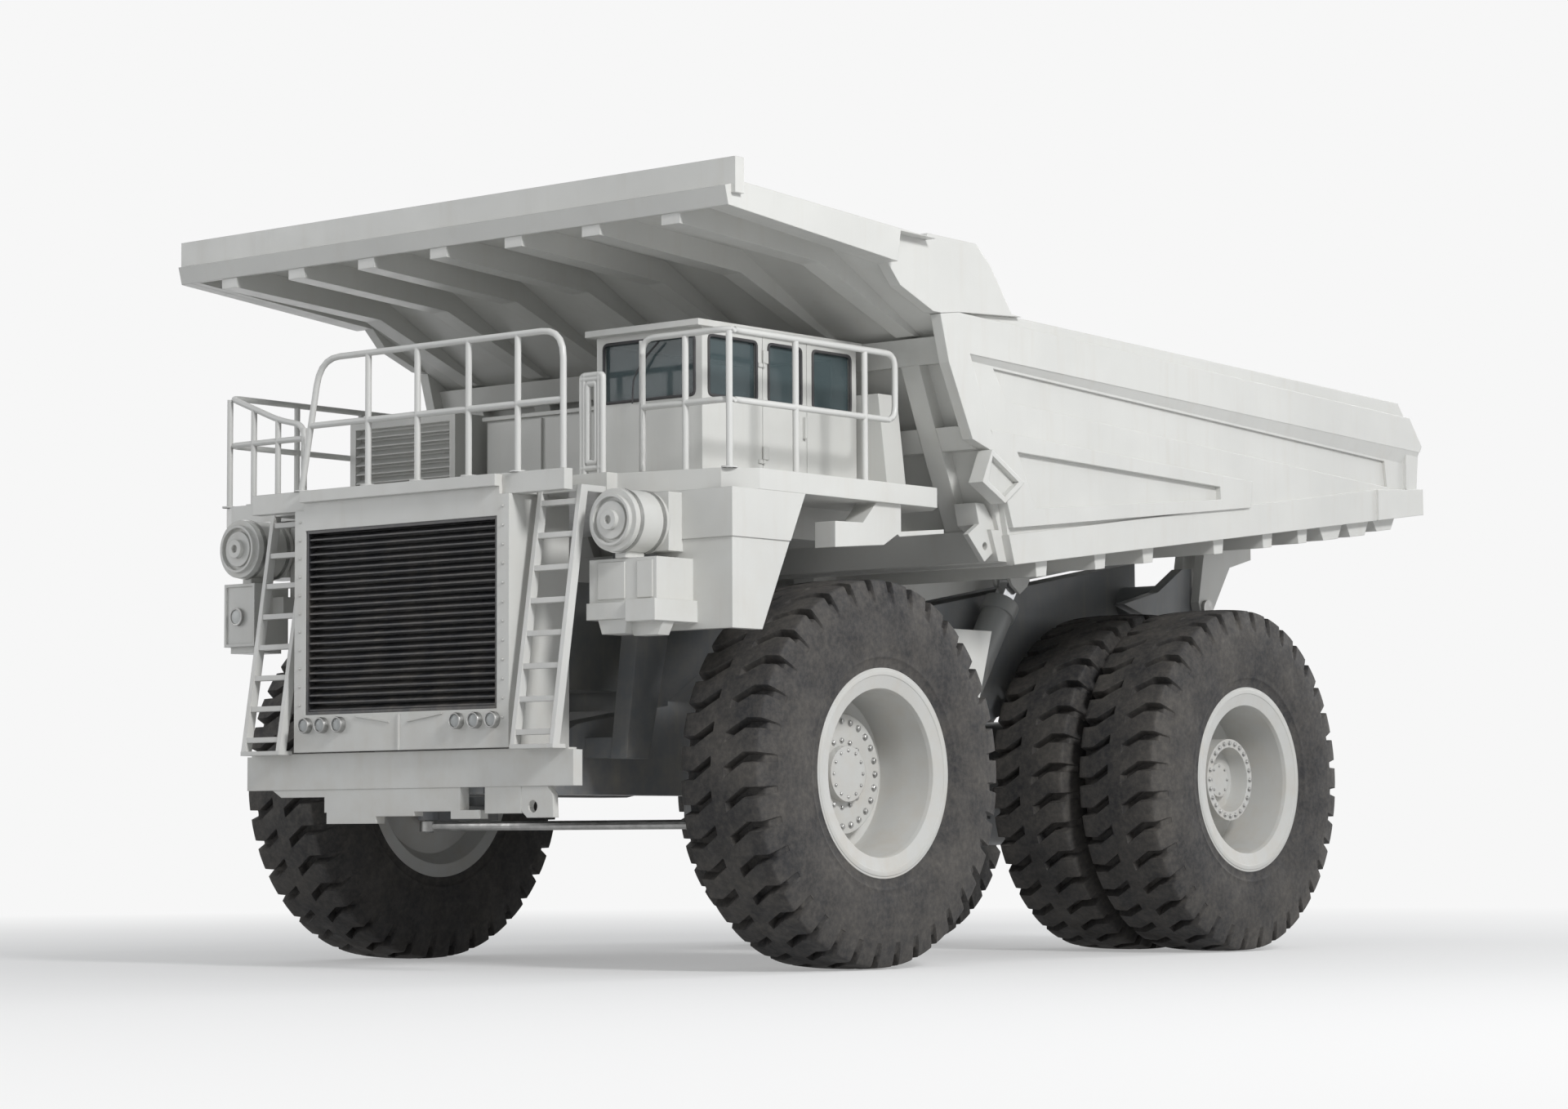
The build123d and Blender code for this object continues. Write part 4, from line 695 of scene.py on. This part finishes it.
railings = {"centre": centre_railing, "left": left_railing, "right": right_railing}
for name, make in railings.items():
    add(f"handrail_{name}", make(), "chassis", "rail_white", [f"railing_{name}"])

# %% [markdown]
# The wheels of such a truck are held by rings of large nuts. A ring is one joined mesh, because
# hundreds of separate objects would make the file slow to open.

# %% Wheel nuts and rim rings
FRONT_DRUM_X = 2.848
FRONT_CAP_X = 2.928
REAR_HUB_X = 2.998
RIM_EDGE_X = 3.348


REAR_EDGE_X = REAR_HUB_X + 0.24
REAR_CAP_X = REAR_HUB_X - 0.13
RING_R = 0.925
RING_LINE = np.array([(0.0, 0.026), (0.006, 0.022), (0.009, 0.0), (0.006, -0.022), (0.0, -0.026)])
# Rings of nuts on each kind of wheel: place across the truck, radius, count and size of a nut
NUT_RINGS = {"front": ((FRONT_DRUM_X, 0.49, 24, 0.036), (FRONT_DRUM_X, 0.31, 16, 0.030),
                       (FRONT_CAP_X, 0.215, 12, 0.020)),
             "rear": ((REAR_HUB_X, 0.385, 24, 0.030), (REAR_CAP_X, 0.145, 8, 0.018))}
AXLES = {"front": (0.0, RIM_EDGE_X), "rear": (WHEELBASE, REAR_EDGE_X)}


def lock_ring(x, y, side):
    """The split ring that holds a tyre's bead, a low rounded band on the rim's edge."""
    return turned(RING_LINE + (0.0, RING_R), at(side * x, y, TYRE_R), (side, 0, 0), 96)


for side_name, sign in SIDES:
    for axle, (y, edge_x) in AXLES.items():
        nuts = []
        for x, radius, count, size in NUT_RINGS[axle]:
            nuts += bolt_circle(at(sign * x, y, TYRE_R), radius, count, size, sign)
        wheel = f"{axle}_{side_name}"
        add(f"wheel_nuts_{wheel}", nuts, f"wheel_{wheel}", "steel")
        add(f"rim_ring_{wheel}", [lock_ring(edge_x, y, sign)], f"wheel_{wheel}", "rim_paint")

# %% Headlamps
LAMP_Y = -2.995
LAMP_Z = 2.28
LAMP_X = (0.77, 1.00, 1.22)
LAMP_FACETS = 40
LENS_R = 0.058
# Lines of the bezels: distance ahead of the lamp's face and radius
BEZEL_LINE = [(-0.054, 0.075), (-0.004, 0.075), (0.006, 0.071), (0.009, 0.065), (0.004, 0.060),
              (-0.012, LENS_R)]
WORK_LAMP = at(-2.53, -2.656, 3.37)
WORK_LENS_R = 0.071
WORK_BEZEL_LINE = [(-0.02, 0.086), (0.006, 0.086), (0.012, 0.080), (0.010, 0.072), (-0.004, 0.070)]


def lens(place, radius, rise, sunk):
    """A domed lens: a quarter ellipse of that radius and rise, turned, its rim sunk a little."""
    t = np.linspace(np.pi / 2, 0, 9)
    line = np.stack([rise * np.cos(t) - sunk, radius * np.sin(t)], -1)
    return turned(line, place, AHEAD, LAMP_FACETS)


lamp_places = [at(sign * x, LAMP_Y, LAMP_Z) for _, sign in SIDES for x in LAMP_X]
bezels = [turned(BEZEL_LINE, place, AHEAD, LAMP_FACETS) for place in lamp_places]
bezels.append(turned(WORK_BEZEL_LINE, WORK_LAMP, AHEAD, LAMP_FACETS))
lenses = [lens(place, LENS_R, 0.010, 0.012) for place in lamp_places]
lenses.append(lens(WORK_LAMP, WORK_LENS_R, 0.012, 0.004))
add("lamp_bezels", bezels, "chassis", "steel", ["headlamps"])
add("lamp_lenses", lenses, "chassis", "lamp_glass", ["headlamps"])

# %% Window seals and cab trim
CAB_X = (1.15, 2.45)
CAB_Y = (-1.50, 0.75)
SILL_Z, HEAD_Z = 5.25, 5.80
SEAL_R, SEAL_CORNER = 0.015, 0.05
CORNER_POST = 0.09  # from the cab's corner to the nearest window
REAR_POST = 0.25  # the same at the rear window
WIPER_ARM_R, WIPER_BLADE_R = 0.008, 0.010


def seal(corners):
    """A rubber seal round a window: a tube through its rounded corners, from mid sill and back."""
    half = (corners[0] + corners[1]) / 2
    return tube(bent([half, *corners[1:], corners[0], half], SEAL_CORNER), SEAL_R)


def side_seal(x, y0, y1):
    """A seal in a side wall between two places along the cab."""
    return seal([at(x, y0, SILL_Z), at(x, y1, SILL_Z), at(x, y1, HEAD_Z), at(x, y0, HEAD_Z)])


def cross_seal(y, inset):
    """A seal in the front or rear wall, inset from the cab's corners."""
    x0, x1 = CAB_X[0] + inset, CAB_X[1] - inset
    return seal([at(x0, y, SILL_Z), at(x1, y, SILL_Z), at(x1, y, HEAD_Z), at(x0, y, HEAD_Z)])


front_y, rear_y = CAB_Y[0] + CORNER_POST, CAB_Y[1] - CORNER_POST
seals = [cross_seal(CAB_Y[0], CORNER_POST), cross_seal(CAB_Y[1], REAR_POST),
         side_seal(CAB_X[1], front_y, -0.73), side_seal(CAB_X[1], 0.09, rear_y),
         side_seal(CAB_X[0], front_y, -0.36), side_seal(CAB_X[0], -0.28, rear_y)]
add("window_seals", seals, "chassis", "plastic")
add("door_seal", [side_seal(CAB_X[1], -0.56, -0.08)], "cab_door", "plastic")
arm = bent([at(1.62, -1.53, 5.22), at(1.64, -1.535, 5.45), at(1.80, -1.525, 5.66)], 0.05)
blade = [at(1.66, -1.522, 5.50), at(1.80, -1.522, 5.66), at(1.94, -1.522, 5.77)]
add("wiper", [tube(arm, WIPER_ARM_R), tube(blade, WIPER_BLADE_R)], "chassis", "plastic")

# %% Clamp bands of the air cleaners and bolts of the nose
CAN_X, CAN_Z, CAN_R = 2.44, 4.02, 0.281
BAND_Y = (-2.62, -2.32)
BAND_HALF, BAND_T = 0.02, 0.008
BAND_LINE = [(-BAND_HALF, CAN_R), (-BAND_HALF, CAN_R + BAND_T), (BAND_HALF, CAN_R + BAND_T),
             (BAND_HALF, CAN_R)]
BAND_BOLT, NOSE_BOLT = 0.022, 0.018
BOLT_ACROSS, BOLT_UP, BOLT_AXIS = 0.20, 0.204, (-0.7, 0, 0.7)
bands = []
for _, sign in SIDES:
    for y in BAND_Y:
        bands.append(turned(BAND_LINE, at(sign * CAN_X, y, CAN_Z), (0, 1, 0), 64))
        bands += bolt(at(sign * CAN_X - BOLT_ACROSS, y, CAN_Z + BOLT_UP), BOLT_AXIS, BAND_BOLT)
add("clamp_bands", bands, "chassis", "steel")
NOSE_Y, NOSE_BOLT_X, NOSE_BOLT_Z = -2.9405, 1.325, (2.30, 4.20)
nose_bolts = []
for x in (-NOSE_BOLT_X, NOSE_BOLT_X):
    for z in np.linspace(*NOSE_BOLT_Z, 12):
        nose_bolts += bolt(at(x, NOSE_Y, z), AHEAD, NOSE_BOLT)
add("nose_bolts", nose_bolts, "chassis", "white_paint")

# %% [markdown]
# The stage is a pale floor under soft studio light. The key lamp stands ahead of the truck and to
# its left, a large weak one fills the other side, a third lights the edges from behind, and the
# world is a pale even grey.

# %% Floor, lamps and world
BACKDROP = (0.93, 0.93, 0.93)
FLOOR_LIT, FLOOR_SEEN = (0.60, 0.60, 0.60), (0.80, 0.80, 0.80)
SKY_TINT = (0.94, 0.97, 1.0, 1.0)


def stage_floor(reach=150.0, clear=8.0, gone=26.0, least=0.35):
    """A pale floor that fades to the backdrop's tone away from the truck.

    The fade and the paler tone are for rays that look at the background, not for the light that
    the floor throws back.
    """
    mesh = bpy.data.meshes.new("studio_floor")
    corners = [(-reach, -reach, 0), (reach, -reach, 0), (reach, reach, 0), (-reach, reach, 0)]
    mesh.from_pydata(corners, [], [(0, 1, 2, 3)])
    floor = bpy.data.objects.new("studio_floor", mesh)
    bpy.context.scene.collection.objects.link(floor)
    mat, tree, bsdf = new_material("pale_floor")
    bsdf.inputs["Roughness"].default_value = 0.9
    coord = tree.nodes.new("ShaderNodeTexCoord")
    distance = vector_node(tree, "LENGTH", "Value", coord.outputs["Object"])
    far = remap(tree, distance, clear, gone, least)
    seen = background_rays(tree)
    tree.links.new(mix_colour(tree, seen, FLOOR_LIT, FLOOR_SEEN), bsdf.inputs["Base Color"])
    glow = tree.nodes.new("ShaderNodeEmission")
    glow.inputs["Color"].default_value = (*BACKDROP, 1.0)
    share = math_node(tree, "MULTIPLY", far, seen)
    mix_surface(tree, share, bsdf.outputs[0], glow.outputs[0], surface_socket(tree))
    mesh.materials.append(mat)
    return floor


def area_lamp(name, place, target, size, power):
    """A round soft lamp that looks at a target; size in metres, power in watts."""
    data = bpy.data.lights.new(name, "AREA")
    data.shape, data.size, data.energy = "DISK", size, power
    lamp = bpy.data.objects.new(name, data)
    lamp.location = place
    lamp.rotation_euler = (Vector(target) - Vector(place)).to_track_quat("-Z", "Y").to_euler()
    bpy.context.scene.collection.objects.link(lamp)
    return lamp


def studio_world(tone=0.42):
    """An even pale world, in the backdrop's tone for rays that look at the background."""
    world = bpy.data.worlds.new("studio_world")
    world.use_nodes = True
    tree = world.node_tree
    seen = tree.nodes["Background"]
    seen.inputs["Color"].default_value = (*BACKDROP, 1.0)
    light = tree.nodes.new("ShaderNodeBackground")
    light.inputs["Color"].default_value = SKY_TINT
    light.inputs["Strength"].default_value = tone
    mix_surface(tree, background_rays(tree), light.outputs[0], seen.outputs[0],
                tree.nodes["World Output"].inputs["Surface"])
    bpy.context.scene.world = world


stage_floor()
area_lamp("key_lamp", (30, -12, 20), (0, -1, 2.5), 7, 7300)
area_lamp("fill_lamp", (-26, -26, 12), (0, 0, 3), 18, 1100)
area_lamp("rim_lamp", (10, 32, 18), (0, 2, 3), 14, 3200)
studio_world()

# %% [markdown]
# The camera stands where the photograph was taken from: low, ahead of the truck and to its left,
# with a long lens. Its direction is given as a heading and a tilt, and its roll is slight.

# %% Camera
CAMERA_AT = (24.560, -30.290, 1.210)
HEADING, TILT, ROLL = 39.70, 4.352, -0.278
LENS, SENSOR = 85.5, 36.0
VIEW_END = 400.0


def aim_camera():
    """Camera axes: forward from heading and tilt, right level, then both turned by the roll."""
    a, p, r = np.radians([HEADING, TILT, ROLL])
    forward = Vector((-np.sin(a) * np.cos(p), np.cos(a) * np.cos(p), np.sin(p)))
    right = Vector((np.cos(a), np.sin(a), 0.0))
    up = right.cross(forward)
    turned_right = right * np.cos(r) + up * np.sin(r)
    turned_up = up * np.cos(r) - right * np.sin(r)
    axes = Matrix((turned_right, turned_up, -forward)).transposed()
    data = bpy.data.cameras.new("photo_camera")
    data.lens, data.sensor_width, data.sensor_fit = LENS, SENSOR, "HORIZONTAL"
    data.clip_end = VIEW_END
    camera = bpy.data.objects.new("photo_camera", data)
    camera.matrix_world = Matrix.Translation(CAMERA_AT) @ axes.to_4x4()
    bpy.context.scene.collection.objects.link(camera)
    return camera


bpy.context.scene.camera = aim_camera()
bpy.context.scene.view_settings.view_transform = "Standard"
